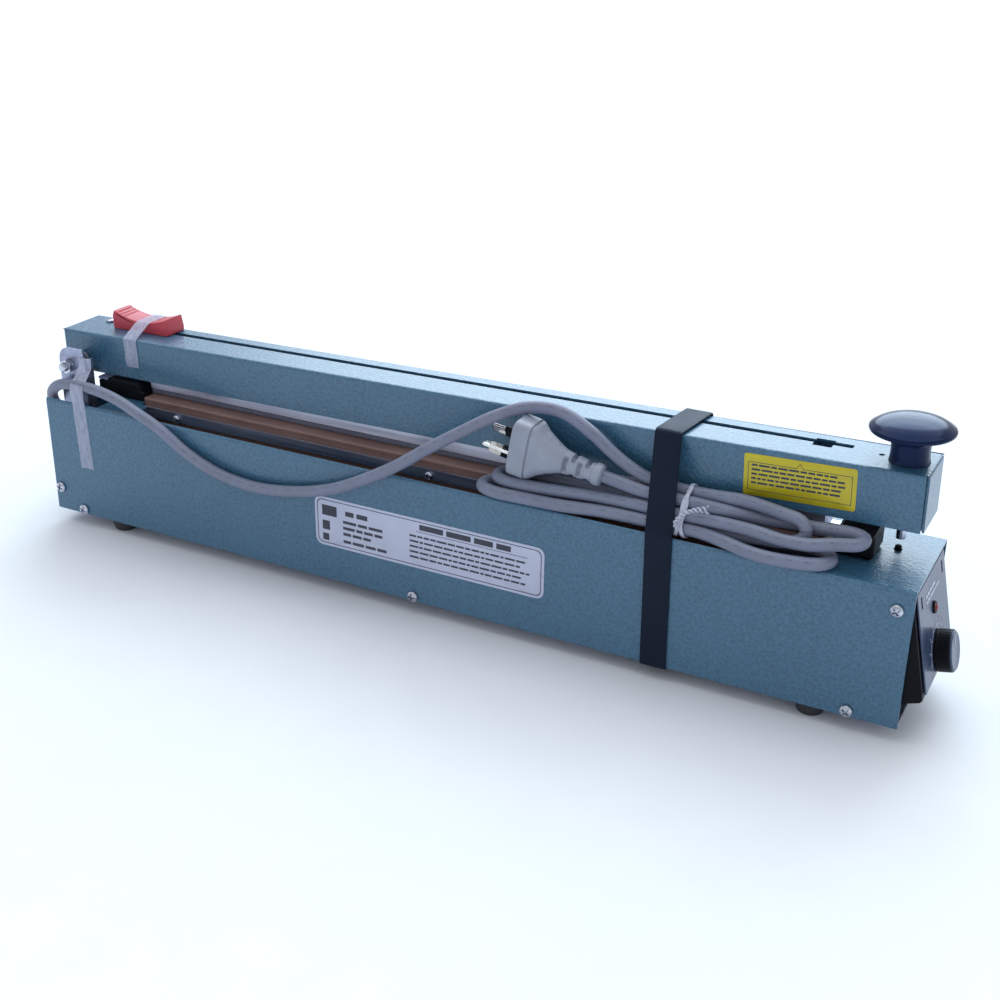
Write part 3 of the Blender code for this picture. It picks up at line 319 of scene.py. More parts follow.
def smooth_line(points, spacing, closed=False):
    """Cubic through the points, cut evenly, with slopes from the neighbours weighted by distance."""
    p = np.asarray(points, float)
    if closed:
        p = np.vstack([p[-1:], p, p[:2]])
    else:
        p = np.vstack([2 * p[0] - p[1], p, 2 * p[-1] - p[-2]])
    step = np.linalg.norm(np.diff(p, axis=0), axis=1)[:, None]
    slope = np.diff(p, axis=0) / step
    tangent = (slope[:-1] * step[1:] + slope[1:] * step[:-1]) / (step[1:] + step[:-1])
    a, b = p[1:-2, None], p[2:-1, None]
    reach = step[1:-1, None]
    t = np.linspace(0, 1, 24, endpoint=False)[None, :, None]
    out, into = tangent[:-1, None] * reach, tangent[1:, None] * reach
    fine = (2 * t**3 - 3 * t**2 + 1) * a + (3 * t**2 - 2 * t**3) * b
    fine = fine + (t**3 - 2 * t**2 + t) * out + (t**3 - t**2) * into
    fine = np.vstack([fine.reshape(-1, p.shape[1]), p[-2]])
    return evenly(fine, spacing)


def evenly(line, spacing):
    """The line cut into even lengths close to the spacing."""
    reach = np.concatenate([[0.0], np.cumsum(np.linalg.norm(np.diff(line, axis=0), axis=1))])
    wanted = np.linspace(0.0, reach[-1], max(2, round(reach[-1] / spacing)) + 1)
    return np.stack([np.interp(wanted, reach, line[:, k]) for k in range(line.shape[1])], 1)


def rounded(corners, radius, spacing, closed=False):
    """Straight runs between the corners with a parabola at each corner, cut evenly by length."""
    c = np.asarray(corners, float)
    before, after = np.roll(c, 1, 0) - c, np.roll(c, -1, 0) - c
    if not closed:
        before[0] = after[-1] = 0.0
    into = c + radius * before / np.maximum(np.linalg.norm(before, axis=1), 1e-9)[:, None]
    out = c + radius * after / np.maximum(np.linalg.norm(after, axis=1), 1e-9)[:, None]
    if not closed:
        into[0], out[-1] = c[0], c[-1]
        into[-1], out[0] = c[-1], c[0]
    t = np.linspace(0, 1, 7)[None, :, None]
    line = (1 - t) ** 2 * into[:, None] + 2 * t * (1 - t) * c[:, None] + t**2 * out[:, None]
    line = line.reshape(-1, c.shape[1])
    if closed:
        line = np.vstack([line, line[:1]])
    return evenly(line, spacing)


def tangents(path, closed=False):
    """Unit direction of the path at each of its points."""
    if closed:
        ring = path[:-1]
        step = np.roll(ring, -1, 0) - np.roll(ring, 1, 0)
        step = np.vstack([step, step[:1]])
    else:
        step = np.gradient(path, axis=0)
    return step / np.linalg.norm(step, axis=1)[:, None]


def carried(path, section, across, closed=False, scale=None):
    """A section (u, v) carried along a path: path + scale (u side + v top).

    Side is across, squared to the path. Open ends are closed by a last ring shrunk to a point. UVs are
    metres along the path and round the section.
    """
    section = np.asarray(section, float)
    section = np.vstack([section, section[:1]])
    along = tangents(path, closed)
    side = np.broadcast_to(np.asarray(across, float), path.shape)
    side = side - (side * along).sum(1)[:, None] * along
    side = side / np.linalg.norm(side, axis=1)[:, None]
    top = np.cross(side, along)
    size = np.ones(len(path)) if scale is None else np.asarray(scale, float)
    u, v = section[:, 0], section[:, 1]
    offset = u[None, :, None] * side[:, None] + v[None, :, None] * top[:, None]
    points = path[:, None] + size[:, None, None] * offset
    run = np.concatenate([[0.0], np.cumsum(np.linalg.norm(np.diff(path, axis=0), axis=1))])
    girth = np.concatenate([[0.0], np.cumsum(np.linalg.norm(np.diff(section, axis=0), axis=1))])
    uv = np.stack(np.meshgrid(run, girth, indexing="ij"), -1)
    if not closed:
        first, last = (np.repeat(end[None, None], len(section), 1) for end in (path[0], path[-1]))
        points = np.concatenate([first, points, last])
        uv = np.concatenate([uv[:1], uv, uv[-1:]])
    return surface(points, uv)


def circle(radius, sides):
    """Outline (r cos a, r sin a)."""
    a = np.linspace(0, 2 * math.pi, sides, endpoint=False)
    return radius * np.stack([np.cos(a), np.sin(a)], 1)


def superellipse(half_u, half_v, square, sides):
    """Outline whose cosine and sine are raised to 2 / square, signs kept: 2 is round and 8 is a box."""
    a = np.linspace(0, 2 * math.pi, sides, endpoint=False)
    c, s = np.cos(a), np.sin(a)
    u = half_u * np.sign(c) * np.abs(c) ** (2 / square)
    v = half_v * np.sign(s) * np.abs(s) ** (2 / square)
    return np.stack([u, v], 1)


def rounded_outline(half_u, half_v, radius, steps=8):
    """Rectangle outline with a quarter circle at each corner."""
    a = np.linspace(0, math.pi / 2, steps)[None, :] + (math.pi / 2 * np.arange(4))[:, None]
    sign_u = np.array([1, -1, -1, 1])[:, None]
    sign_v = np.array([1, 1, -1, -1])[:, None]
    u = sign_u * (half_u - radius) + radius * np.cos(a)
    v = sign_v * (half_v - radius) + radius * np.sin(a)
    return np.stack([u.ravel(), v.ravel()], 1)


def revolved(profile, sides, radius_of=None):
    """Profile (radius, height) turned about Z: (r cos a, r sin a, h).

    radius_of(r, a, h) may vary the radius round the turn.
    """
    profile = np.asarray(profile, float)
    a = np.linspace(0, 2 * math.pi, sides + 1)[None, :]
    r, h = np.repeat(profile[:, :1], sides + 1, 1), np.repeat(profile[:, 1:], sides + 1, 1)
    if radius_of:
        r = radius_of(r, a, h)
    return surface(np.stack([r * np.cos(a), r * np.sin(a), h], -1))


def at_heights(rings, heights):
    """A grid of flat rings, each lifted to its height."""
    return np.stack([np.column_stack([ring, np.full(len(ring), h)]) for ring, h in zip(rings, heights)])

def plate(outline, thickness, lip):
    """Flat plate: a top shrunk to its middle, a small bevel at the lip, a wall and a flat underside."""
    outline = np.vstack([outline, outline[:1]])
    inner = outline * (1 - lip / np.abs(outline).max())
    heights = [thickness, thickness, thickness - lip / 3, 0.0, 0.0]
    rings = [0 * outline, inner, outline, outline, 0 * outline]
    points = at_heights(rings, heights)
    return surface(points, points[..., :2])


def ring_plate(outline, width, thickness):
    """Raised line that follows an outline: its two edges on top and again on the surface below."""
    outline = np.vstack([outline, outline[:1]])
    inner = outline * (1 - width / np.abs(outline).max(0))
    rings = [inner, outline, outline, inner, inner]
    heights = [thickness, thickness, 0.0, 0.0, thickness]
    points = at_heights(rings, heights)
    return surface(points, points[..., :2])


BLOCK_CORNERS = np.array([(x, y, z) for x in (0, 1) for y in (0, 1) for z in (0, 1)])
BLOCK_FACES = np.array([(0, 1, 3, 2), (4, 6, 7, 5), (0, 4, 5, 1), (2, 3, 7, 6), (0, 2, 6, 4), (1, 5, 7, 3)])


def printed(rectangles, thickness):
    """Print (u0, v0, u1, v1) raised by an ink's thickness: each rectangle is a scaled unit block."""
    r = np.asarray(rectangles, float)
    low = np.column_stack([r[:, 0], r[:, 1], np.zeros(len(r))])
    size = np.column_stack([r[:, 2] - r[:, 0], r[:, 3] - r[:, 1], np.full(len(r), thickness)])
    points = (low[:, None] + size[:, None] * BLOCK_CORNERS[None]).reshape(-1, 3)
    faces = (BLOCK_FACES[None] + 8 * np.arange(len(r))[:, None, None]).reshape(-1, 4)
    return points, faces, points[:, :2]


def words(left, right, rows, height, seed):
    """Rectangles for lines of print that can't be read: each row is split into words of uneven length."""
    draw = np.random.default_rng(seed)
    found = []
    for row in rows:
        widths = draw.uniform(1.6, 5.2, 40) * height
        ends = left + np.cumsum(widths + 0.62 * height)
        starts = ends - widths
        inside = ends < right - draw.uniform(0.0, 6.0) * height
        found += [(a, row, b, row + height) for a, b in zip(starts[inside], ends[inside])]
    return found


def together(*shapes):
    """Several surfaces as one, their point numbers following on."""
    starts = np.cumsum([0] + [len(points) for points, _, _ in shapes[:-1]])
    faces = [face + start for (_, face, _), start in zip(shapes, starts)]
    return np.vstack([s[0] for s in shapes]), np.vstack(faces), np.vstack([s[2] for s in shapes])


def turned_to(shape, matrix):
    """The shape with its points carried by a matrix."""
    m = np.array(matrix)
    return shape[0] @ m[:3, :3].T + m[:3, 3], shape[1], shape[2]


def piece(name, shape, place, slot, body, stands_for=(), crease=38.0, weld=2e-6):
    """A welded mesh of the shape, faced outwards, that rides on a body with the slot's finish."""
    points, faces, uv = turned_to(shape, place)
    mesh = bpy.data.meshes.new(name)
    mesh.from_pydata(points.tolist(), [], faces.tolist())
    corner = np.empty(len(mesh.loops), np.int32)
    mesh.loops.foreach_get("vertex_index", corner)
    layer = mesh.uv_layers.new(name="UVMap")
    layer.data.foreach_set("uv", uv[corner].astype(np.float32).ravel())
    bm = bmesh.new()
    bm.from_mesh(mesh)
    bmesh.ops.remove_doubles(bm, verts=bm.verts, dist=weld)
    bmesh.ops.dissolve_degenerate(bm, dist=weld / 2, edges=bm.edges)
    bmesh.ops.recalc_face_normals(bm, faces=bm.faces)
    bm.to_mesh(mesh)
    bm.free()
    mesh.shade_smooth()
    mesh.set_sharp_from_angle(angle=math.radians(crease))
    mesh.materials.append(finish(slot))
    obj = bpy.data.objects.new(name, mesh)
    bpy.context.scene.collection.objects.link(obj)
    if stands_for:
        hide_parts(*stands_for)
    if body:
        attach(obj, body)
    return obj


# ---- finishes ------------------------------------------------------------------------------------


class Recipe:
    """Nodes of one material, added a few at a time and linked to its own shader."""

    def __init__(self, name, roughness=0.5, metallic=0.0, **settings):
        self.material = bpy.data.materials.new(name)
        self.material.use_nodes = True
        self.tree = self.material.node_tree
        self.shader = self.tree.nodes["Principled BSDF"]
        self.shader.inputs["Roughness"].default_value = roughness
        self.shader.inputs["Metallic"].default_value = metallic
        for socket, value in settings.items():
            label = socket.replace("_", " ").title().replace("Ior", "IOR")
            self.shader.inputs[label].default_value = value
        self.coordinates = self.tree.nodes.new("ShaderNodeTexCoord")

    def node(self, kind, values, **settings):
        """A node with its settings, each value set on or linked to the input of that name or number."""
        made = self.tree.nodes.new("ShaderNode" + kind)
        for key, value in settings.items():
            setattr(made, key, value)
        for key, value in values.items():
            if isinstance(value, bpy.types.NodeSocket):
                self.tree.links.new(value, made.inputs[key])
            else:
                made.inputs[key].default_value = value
        return made

    def place(self, stretch=(1.0, 1.0, 1.0), space="Object"):
        values = {"Vector": self.coordinates.outputs[space], "Scale": stretch}
        return self.node("Mapping", values).outputs["Vector"]

    def noise(self, scale, detail=2.0, where=None):
        values = {"Vector": where or self.place(), "Scale": scale, "Detail": detail}
        return self.node("TexNoise", values).outputs["Fac"]

    def cells(self, scale, where=None):
        values = {"Vector": where or self.place(), "Scale": scale, "Randomness": 1.0}
        return self.node("TexVoronoi", values, feature="SMOOTH_F1").outputs["Distance"]

    def wave(self, scale, direction, where=None):
        values = {"Vector": where or self.place(), "Scale": scale, "Distortion": 0.0}
        return self.node("TexWave", values, bands_direction=direction).outputs["Fac"]

    def span(self, value, low, high, to_low=0.0, to_high=1.0):
        values = {"Value": value, "From Min": low, "From Max": high, "To Min": to_low, "To Max": to_high}
        return self.node("MapRange", values).outputs["Result"]

    def sum(self, a, b, share):
        return self.node("Math", {0: b, 1: share, 2: a}, operation="MULTIPLY_ADD").outputs[0]

    def times(self, a, b):
        return self.node("Math", {0: a, 1: b}, operation="MULTIPLY").outputs[0]

    def between(self, factor, dark, light):
        dark = dark if isinstance(dark, bpy.types.NodeSocket) else (*dark, 1.0)
        light = light if isinstance(light, bpy.types.NodeSocket) else (*light, 1.0)
        return self.node("Mix", {0: factor, 6: dark, 7: light}, data_type="RGBA").outputs[2]

    def colour(self, socket):
        self.tree.links.new(socket, self.shader.inputs["Base Color"])

    def roughness(self, socket):
        self.tree.links.new(socket, self.shader.inputs["Roughness"])

    def relief(self, height, depth):
        made = self.node("Bump", {"Height": height, "Distance": depth, "Strength": 1.0})
        self.tree.links.new(made.outputs["Normal"], self.shader.inputs["Normal"])


def grained(name, dark, light, stretch, scale, depth, rough, metallic=0.0, **settings):
    """A finish whose colour, roughness and relief all drift between two values with a stretched noise."""
    made = Recipe(name, metallic=metallic, **settings)
    grain = made.noise(scale, 4.0, made.place(stretch))
    drift = made.noise(35.0, 3.0)
    made.colour(made.between(made.span(made.sum(grain, drift, 0.6), 0.55, 1.05), dark, light))
    made.roughness(made.span(grain, 0.3, 0.7, *rough))
    made.relief(grain, depth)
    return made.material


def painted(name, colours):
    """Hammertone enamel: smooth pebbles under gloss, dark flecks between them and a slow drift of tone."""
    made = Recipe(name, coat_weight=0.35, coat_roughness=0.16, coat_ior=1.5, specular_ior_level=0.55)
    pebbles = made.cells(620.0)
    flecks = made.noise(900.0, 3.0)
    drift = made.noise(18.0, 2.0)
    tone = made.span(made.sum(made.sum(pebbles, flecks, 0.9), drift, 0.25), 0.55, 1.15)
    made.colour(made.between(tone, colours.paint_dark, colours.paint))
    made.roughness(made.span(flecks, 0.3, 0.7, 0.30, 0.42))
    made.relief(made.sum(pebbles, flecks, 0.5), 0.00022)
    return made.material


def brushed(name, dark, light, rough):
    """Drawn metal: fine scratches along X."""
    return grained(name, dark, light, (18.0, 900.0, 900.0), 1.0, 0.00002, rough, metallic=1.0)


def woven(name, dark, light, pitch, depth, rough, **settings):
    """Plain weave from UVs in metres: the warp's and the weft's waves are multiplied."""
    made = Recipe(name, **settings)
    threads = made.place((1.0 / pitch, 1.0 / pitch, 1.0), "UV")
    warp = made.wave(0.5, "X", threads)
    weft = made.wave(0.5, "Y", threads)
    cloth = made.times(warp, weft)
    drift = made.noise(60.0, 3.0)
    made.colour(made.between(made.span(made.sum(cloth, drift, 0.8), 0.15, 1.0), dark, light))
    made.roughness(made.span(drift, 0.3, 0.7, *rough))
    made.relief(cloth, depth)
    return made.material


def lead_vinyl(name, colours):
    """Grey vinyl, faintly soiled, with a broken line of worn print along one side of the lead."""
    made = Recipe(name, roughness=0.42, specular_ior_level=0.45, subsurface_weight=0.04)
    soil = made.noise(70.0, 4.0)
    uv = made.place((1.0, 1.0, 1.0), "UV")
    split = made.node("SeparateXYZ", {"Vector": uv})
    along, round_lead = split.outputs["X"], split.outputs["Y"]
    aside = made.node("Math", {0: round_lead, 1: 0.00534}, operation="SUBTRACT").outputs[0]
    aside = made.node("Math", {0: aside}, operation="ABSOLUTE").outputs[0]
    near = made.node("Math", {0: aside, 1: 0.0030, 2: 0.00045}, operation="COMPARE").outputs[0]
    dash = made.wave(36.0, "X", uv)
    letters = made.noise(900.0, 2.0, made.place((1.0, 0.4, 1.0), "UV"))
    mark = made.times(near, made.times(made.span(dash, 0.40, 0.46), made.span(letters, 0.44, 0.52)))
    base = made.between(made.span(soil, 0.3, 0.7), [0.84 * c for c in colours.lead], colours.lead)
    made.colour(made.between(made.times(mark, 0.38), base, (0.05, 0.055, 0.075)))
    made.roughness(made.span(soil, 0.3, 0.7, 0.36, 0.50))
    made.relief(made.noise(1500.0, 2.0), 0.00002)
    return made.material


def clear_tape(name):
    """Thin matt film that lets what is under it show through, milky along its creases."""
    made = Recipe(name, roughness=0.30, alpha=0.36, specular_ior_level=0.5)
    creases = made.noise(160.0, 4.0, made.place((3.0, 3.0, 1.0)))
    made.colour(made.between(made.span(creases, 0.35, 0.65), (0.50, 0.53, 0.70), (0.66, 0.69, 0.86)))
    made.roughness(made.span(creases, 0.3, 0.7, 0.22, 0.42))
    made.relief(creases, 0.00008)
    return made.material


FINISHES = {}


def finish(name):
    """The material of a finish slot, or of a print or film without one, made on first use."""
    if name not in FINISHES:
        FINISHES[name] = make_finish(name)
    return FINISHES[name]


# name: dark, light, stretch, scale, relief depth, roughness from and to, metallic, shader settings
GRAINED = {
    "zinc": ((0.22, 0.24, 0.32), (0.44, 0.47, 0.62), (1, 1, 1), 260.0, 0.00003, (0.24, 0.44), 0.9, {}),
    "steel": ((0.38, 0.40, 0.47), (0.66, 0.68, 0.76), (1, 1, 1), 500.0, 0.00001, (0.14, 0.26), 1.0, {}),
    "spring_steel": (
        (0.10, 0.10, 0.12), (0.26, 0.27, 0.30), (1, 1, 1), 300.0, 0.00001, (0.25, 0.40), 0.9, {}
    ),
    "nichrome": (
        (0.20, 0.18, 0.17), (0.36, 0.33, 0.31), (20, 900, 900), 1.0, 0.00001, (0.3, 0.45), 1.0, {}
    ),
    "silicone": (
        (0.085, 0.088, 0.130), (0.125, 0.130, 0.185), (1, 1, 1), 400.0, 0.00003, (0.5, 0.7), 0.0, {}
    ),
    "black_plastic": (
        (0.0015, 0.0020, 0.0040),
        (0.0035, 0.0045, 0.0085),
        (1, 1, 1),
        1600.0,
        0.00003,
        (0.32, 0.48),
        0.0,
        {"specular_ior_level": 0.12},
    ),
    "navy_plastic": (
        (0.0050, 0.0090, 0.0320),
        (0.0080, 0.0140, 0.0440),
        (1, 1, 1),
        60.0,
        0.000002,
        (0.16, 0.20),
        0.0,
        {"ior": 1.36, "specular_tint": (0.30, 0.48, 1.0, 1.0)},
    ),
    "panel_film": (
        (0.026, 0.040, 0.086),
        (0.058, 0.080, 0.150),
        (1.0, 22.0, 16.0),
        1.0,
        0.000004,
        (0.20, 0.34),
        0.0,
        {"specular_ior_level": 0.45, "specular_tint": (0.70, 0.82, 1.0, 1.0)},
    ),
    "panel_print": (
        (0.42, 0.48, 0.62), (0.62, 0.68, 0.80), (1, 1, 1), 600.0, 0.00001, (0.4, 0.55), 0.0, {}
    ),
    "core_iron": (
        (0.05, 0.05, 0.055), (0.13, 0.13, 0.14), (1, 1400, 1), 1.0, 0.00008, (0.45, 0.6), 0.7, {}
    ),
    "winding_tape": (
        (0.50, 0.34, 0.06), (0.66, 0.50, 0.12), (1, 1, 300), 1.0, 0.00005, (0.35, 0.5), 0.0, {}
    ),
    "circuit_board": (
        (0.02, 0.09, 0.04), (0.05, 0.20, 0.09), (1, 1, 1), 300.0, 0.00003, (0.3, 0.45), 0.0, {}
    ),
    "foot_rubber": (
        (0.020, 0.021, 0.026), (0.045, 0.047, 0.055), (1, 1, 1), 700.0, 0.00004, (0.65, 0.85), 0.0, {}
    ),
    "plug_vinyl": (
        (0.250, 0.275, 0.345),
        (0.305, 0.335, 0.410),
        (1, 1, 1),
        90.0,
        0.00003,
        (0.30, 0.42),
        0.0,
        {"specular_ior_level": 0.5},
    ),
    "plug_metal": (
        (0.62, 0.60, 0.57), (0.88, 0.86, 0.84), (1, 1, 1), 300.0, 0.00001, (0.12, 0.22), 1.0, {}
    ),
    "tie_plastic": ((0.30, 0.32, 0.42), (0.52, 0.55, 0.66), (1, 1, 1), 500.0, 0.00004, (0.3, 0.5), 0.0, {}),
    "print_ink": (
        (0.020, 0.022, 0.040), (0.050, 0.055, 0.085), (1, 1, 1), 600.0, 0.00001, (0.4, 0.55), 0.0, {}
    ),
    "lamp_red": (
        (0.16, 0.010, 0.015), (0.30, 0.020, 0.030), (1, 1, 1), 300.0, 0.00001, (0.10, 0.2), 0.0, {}
    ),
    "floor_paint": ((0.79, 0.81, 0.85), (0.82, 0.84, 0.87), (1, 1, 1), 4.0, 0.00001, (0.8, 0.9), 0.0, {}),
}


def make_finish(name):
    """The material of that name, from the table above or from its own recipe."""
    colours = bpy.context.scene.sealer_colours
    if name in GRAINED:
        dark, light, stretch, scale, depth, rough, metallic, settings = GRAINED[name]
        return grained(name, dark, light, stretch, scale, depth, rough, metallic, **settings)
    if name == "hammertone_paint":
        return painted(name, colours)
    if name == "aluminium":
        return brushed(name, (0.50, 0.50, 0.62), (0.74, 0.74, 0.86), (0.30, 0.46))
    if name == "coral_plastic":
        dark = [0.72 * c for c in colours.grip]
        return grained(name, dark, colours.grip, (1, 1, 1), 900.0, 0.00003, (0.34, 0.48))
    if name == "ptfe_cloth":
        return woven(name, (0.135, 0.072, 0.060), (0.250, 0.150, 0.128), 0.0007, 0.00002, (0.28, 0.42))
    if name == "glass_tape":
        return woven(name, (0.55, 0.53, 0.48), (0.78, 0.76, 0.70), 0.0008, 0.00004, (0.6, 0.8))
    if name == "black_elastic":
        light = [3.2 * c for c in colours.strap]
        return woven(
            name,
            colours.strap,
            light,
            0.0009,
            0.00006,
            (0.40, 0.52),
            specular_ior_level=0.24,
            specular_tint=(0.45, 0.64, 1.0, 1.0),
        )
    if name == "grey_vinyl":
        return lead_vinyl(name, colours)
    if name == "front_label_film":
        dark = [0.90 * c for c in colours.front_label]
        return grained(name, dark, colours.front_label, (1, 1, 1), 60.0, 0.00001, (0.25, 0.4), 0.15)
    if name == "arm_label_film":
        dark = [0.84 * c for c in colours.arm_label]
        return grained(name, dark, colours.arm_label, (1, 1, 1), 70.0, 0.00001, (0.3, 0.45))
    if name == "clear_tape":
        return clear_tape(name)
    raise ValueError(f"no recipe for the finish {name}")


# ---- operators: one for each piece or group of like pieces ---------------------------------------


def towards(azimuth, height):
    """Unit vector to a place at that azimuth, counted from the front, and that height, in degrees."""
    a, h = math.radians(azimuth), math.radians(height)
    return Vector((math.sin(a) * math.cos(h), -math.cos(a) * math.cos(h), math.sin(h)))

class SEALER_OT_stage(bpy.types.Operator):
    """Make the floor, the soft lights and the camera"""

    bl_idname = "sealer.stage"
    bl_label = "Stage"

    def execute(self, context):
        scene = context.scene
        scene.view_settings.view_transform = "Standard"
        self.camera(scene)
        self.lights(scene)
        reach = np.linspace(-9.0, 9.0, 7)
        x, y = np.meshgrid(reach, reach, indexing="ij")
        ground = surface(np.stack([x, y, 0 * x], -1))
        floor = piece("floor", ground, Matrix(), "floor_paint", None)
        return {"FINISHED"}

    def camera(self, scene):
        """Looks at the sealer from the front right and above, rolled a little."""
        azimuth, elevation, roll = 27.04, 24.56, math.radians(0.81)
        back = towards(azimuth, elevation)
        level = towards(azimuth + 90.0, 0.0)
        upright = back.cross(level)
        right = level * math.cos(roll) + upright * math.sin(roll)
        up = upright * math.cos(roll) - level * math.sin(roll)
        data = bpy.data.cameras.new("camera")
        data.sensor_width = 36.0
        data.lens = 52.38
        data.clip_end = 50.0
        camera = bpy.data.objects.new("camera", data)
        turn = Matrix((right, up, back)).transposed().to_4x4()
        camera.matrix_world = Matrix.Translation((0.3668, -0.6689, 0.4094)) @ turn
        scene.collection.objects.link(camera)
        scene.camera = camera

    def lights(self, scene):
        """An even pale sky, a broad sun overhead and a wide soft light behind that glances off the tops."""
        world = bpy.data.worlds.new("sky")
        world.use_nodes = True
        sky = world.node_tree.nodes["Background"]
        sky.inputs["Color"].default_value = (0.90, 0.94, 1.0, 1.0)
        sky.inputs["Strength"].default_value = 0.70
        scene.world = world
        suns = {  # strength, spread, azimuth and height that it comes from, and tint
            "overhead": (1.4, 70.0, 200.0, 68.0, (0.88, 0.95, 1.0)),
            "behind": (2.0, 50.0, 195.0, 32.0, (0.70, 0.86, 1.0)),
        }
        for name, (strength, spread, azimuth, height, tint) in suns.items():
            data = bpy.data.lights.new(name, "SUN")
            data.energy = strength
            data.angle = math.radians(spread)
            data.color = tint
            light = bpy.data.objects.new(name, data)
            light.rotation_euler = towards(azimuth, height).to_track_quat("Z", "Y").to_euler()
            scene.collection.objects.link(light)


def lead_line():
    """Middle line of the whole lead, from inside the housing to the plug's tail."""
    route = [(-0.2728, 0.0220, 0.0480), *LOOSE_LEAD, *TOP_RIGHT_TURN, *LOW_LEFT_TURN, *LOW_RIGHT_TURN]
    route += [*HIGH_LEFT_TURN, *HIGH_RIGHT_TURN, *PLUG_LEAD]
    line = smooth_line(route, 0.0020)
    for _ in range(3):
        line[1:-1] = (line[:-2] + 2 * line[1:-1] + line[2:]) / 4
    return line + np.array(FRAME_SHIFT)


def level_across(path):
    """Level direction square to the path at each point."""
    return np.cross(tangents(path), (0.0, 0.0, 1.0))


class SEALER_OT_lead(bpy.types.Operator):
    """Make the mains lead: one length from the housing, tied in a hank and back to its plug"""

    bl_idname = "sealer.lead"
    bl_label = "Mains lead"

    def execute(self, context):
        sizes = context.scene.sealer_sizes
        line = lead_line()
        across = level_across(line)
        shape = carried(line, circle(sizes.cord_diameter / 2, 18), across)
        nodes = ("power_cord", "cord_hank", "plug_lead")
        lead = piece("mains_lead", shape, Matrix(), "grey_vinyl", "base", nodes)
        with_pieces = [
            plug_body(),
            *plug_pins(),
            twist_tie(),
        ]
        return {"FINISHED"}


class SEALER_OT_strain_relief(bpy.types.Operator):
    """Make the flange and the ribbed tapered sleeve where the lead leaves the housing"""

    bl_idname = "sealer.strain_relief"
    bl_label = "Strain relief"

    def execute(self, context):
        sizes = context.scene.sealer_sizes
        line = lead_line()
        reach = np.concatenate([[0.0], np.cumsum(np.linalg.norm(np.diff(line, axis=0), axis=1))])
        sleeve = evenly(line[reach < sizes.relief_length], 0.0004)
        s = np.linspace(0.0, 1.0, len(sleeve))
        ribs = 0.00035 * (0.5 + 0.5 * np.cos(2 * math.pi * 7 * s)) * (s < 0.9)
        radius = 0.0056 - 0.0016 * s + ribs
        taper = carried(sleeve, circle(1.0, 24), level_across(sleeve), scale=radius)
        flange = [(0.0, 0.0030), (0.0062, 0.0030), (0.0080, 0.0024), (0.0085, 0.0014)]
        flange += [(0.0085, GAP), (0.0, GAP)]
        lie_left = Matrix.Rotation(-math.pi / 2, 4, "Y")
        at_exit = Matrix.Translation(Vector(LEAD_EXIT) + FRAME_SHIFT) @ lie_left
        disc = turned_to(revolved(flange, 32), at_exit)
        piece("strain_relief", together(taper, disc), Matrix(), "foot_rubber", "base", ("cord_gland",))
        return {"FINISHED"}


def plug_body():
    """Moulded plug: superellipse sections lofted from the pin face to a round tail.

    The half sizes run straight between stations along the plug. A groove marks the parting line behind the
    face, and rows of slots, each a quarter turn on from the last, are cut into the tail.
    """
    stations = np.array(
        [  # along, half height, half thickness, squareness
            (0.0000, 0.0146, 0.0088, 5.0),
            (0.0006, 0.0156, 0.0095, 5.0),
            (0.0016, 0.0160, 0.0098, 5.0),
            (0.0100, 0.0160, 0.0098, 5.0),
            (0.0104, 0.0150, 0.0089, 5.0),
            (0.0109, 0.0150, 0.0089, 4.8),
            (0.0113, 0.0158, 0.0096, 4.6),
            (0.0132, 0.0150, 0.0092, 3.8),
            (0.0165, 0.0125, 0.0085, 3.0),
            (0.0215, 0.0098, 0.0078, 2.6),
            (0.0262, 0.0078, 0.0070, 2.2),
            (0.0285, 0.0071, 0.0066, 2.0),
            (0.0300, 0.0066, 0.0062, 2.0),
            (0.0465, 0.0052, 0.0052, 2.0),
            (0.0475, 0.0060, 0.0060, 2.0),
            (0.0490, 0.0062, 0.0062, 2.0),
            (0.0512, 0.0058, 0.0058, 2.0),
            (PLUG_LENGTH, 0.0046, 0.0046, 2.0),
        ]
    )
    x = np.unique(np.concatenate([np.linspace(0, PLUG_LENGTH, 150), stations[:, 0]]))
    tall, thick, square = (np.interp(x, stations[:, 0], stations[:, k])[:, None] for k in (1, 2, 3))
    a = np.linspace(0, 2 * math.pi, 97)[None, :]
    row = (x[:, None] - 0.0315) / 0.0041
    number = np.round(row)
    slot = np.clip(1.6 - 4.6 * np.abs(row - number), 0, 1) * ((number >= 0) & (number <= 3))
    window = np.clip(3.0 * (np.cos(2 * a + math.pi * number) + 0.35), 0, 1)
    depth = 1 - 0.40 * slot * window
    c, s = np.cos(a), np.sin(a)
    y = depth * thick * np.sign(c) * np.abs(c) ** (2 / square)
    z = depth * tall * np.sign(s) * np.abs(s) ** (2 / square)
    points = np.stack([np.broadcast_to(x[:, None], y.shape), y, z], -1)
    ends = [np.repeat(np.array([[[end, 0.0, 0.0]]]), points.shape[1], 1) for end in (0.0, PLUG_LENGTH)]
    shape = surface(np.concatenate([ends[0], points, ends[1]]))
    return piece("plug", shape, PLUG, "plug_vinyl", "base", ("plug_body",), crease=50)


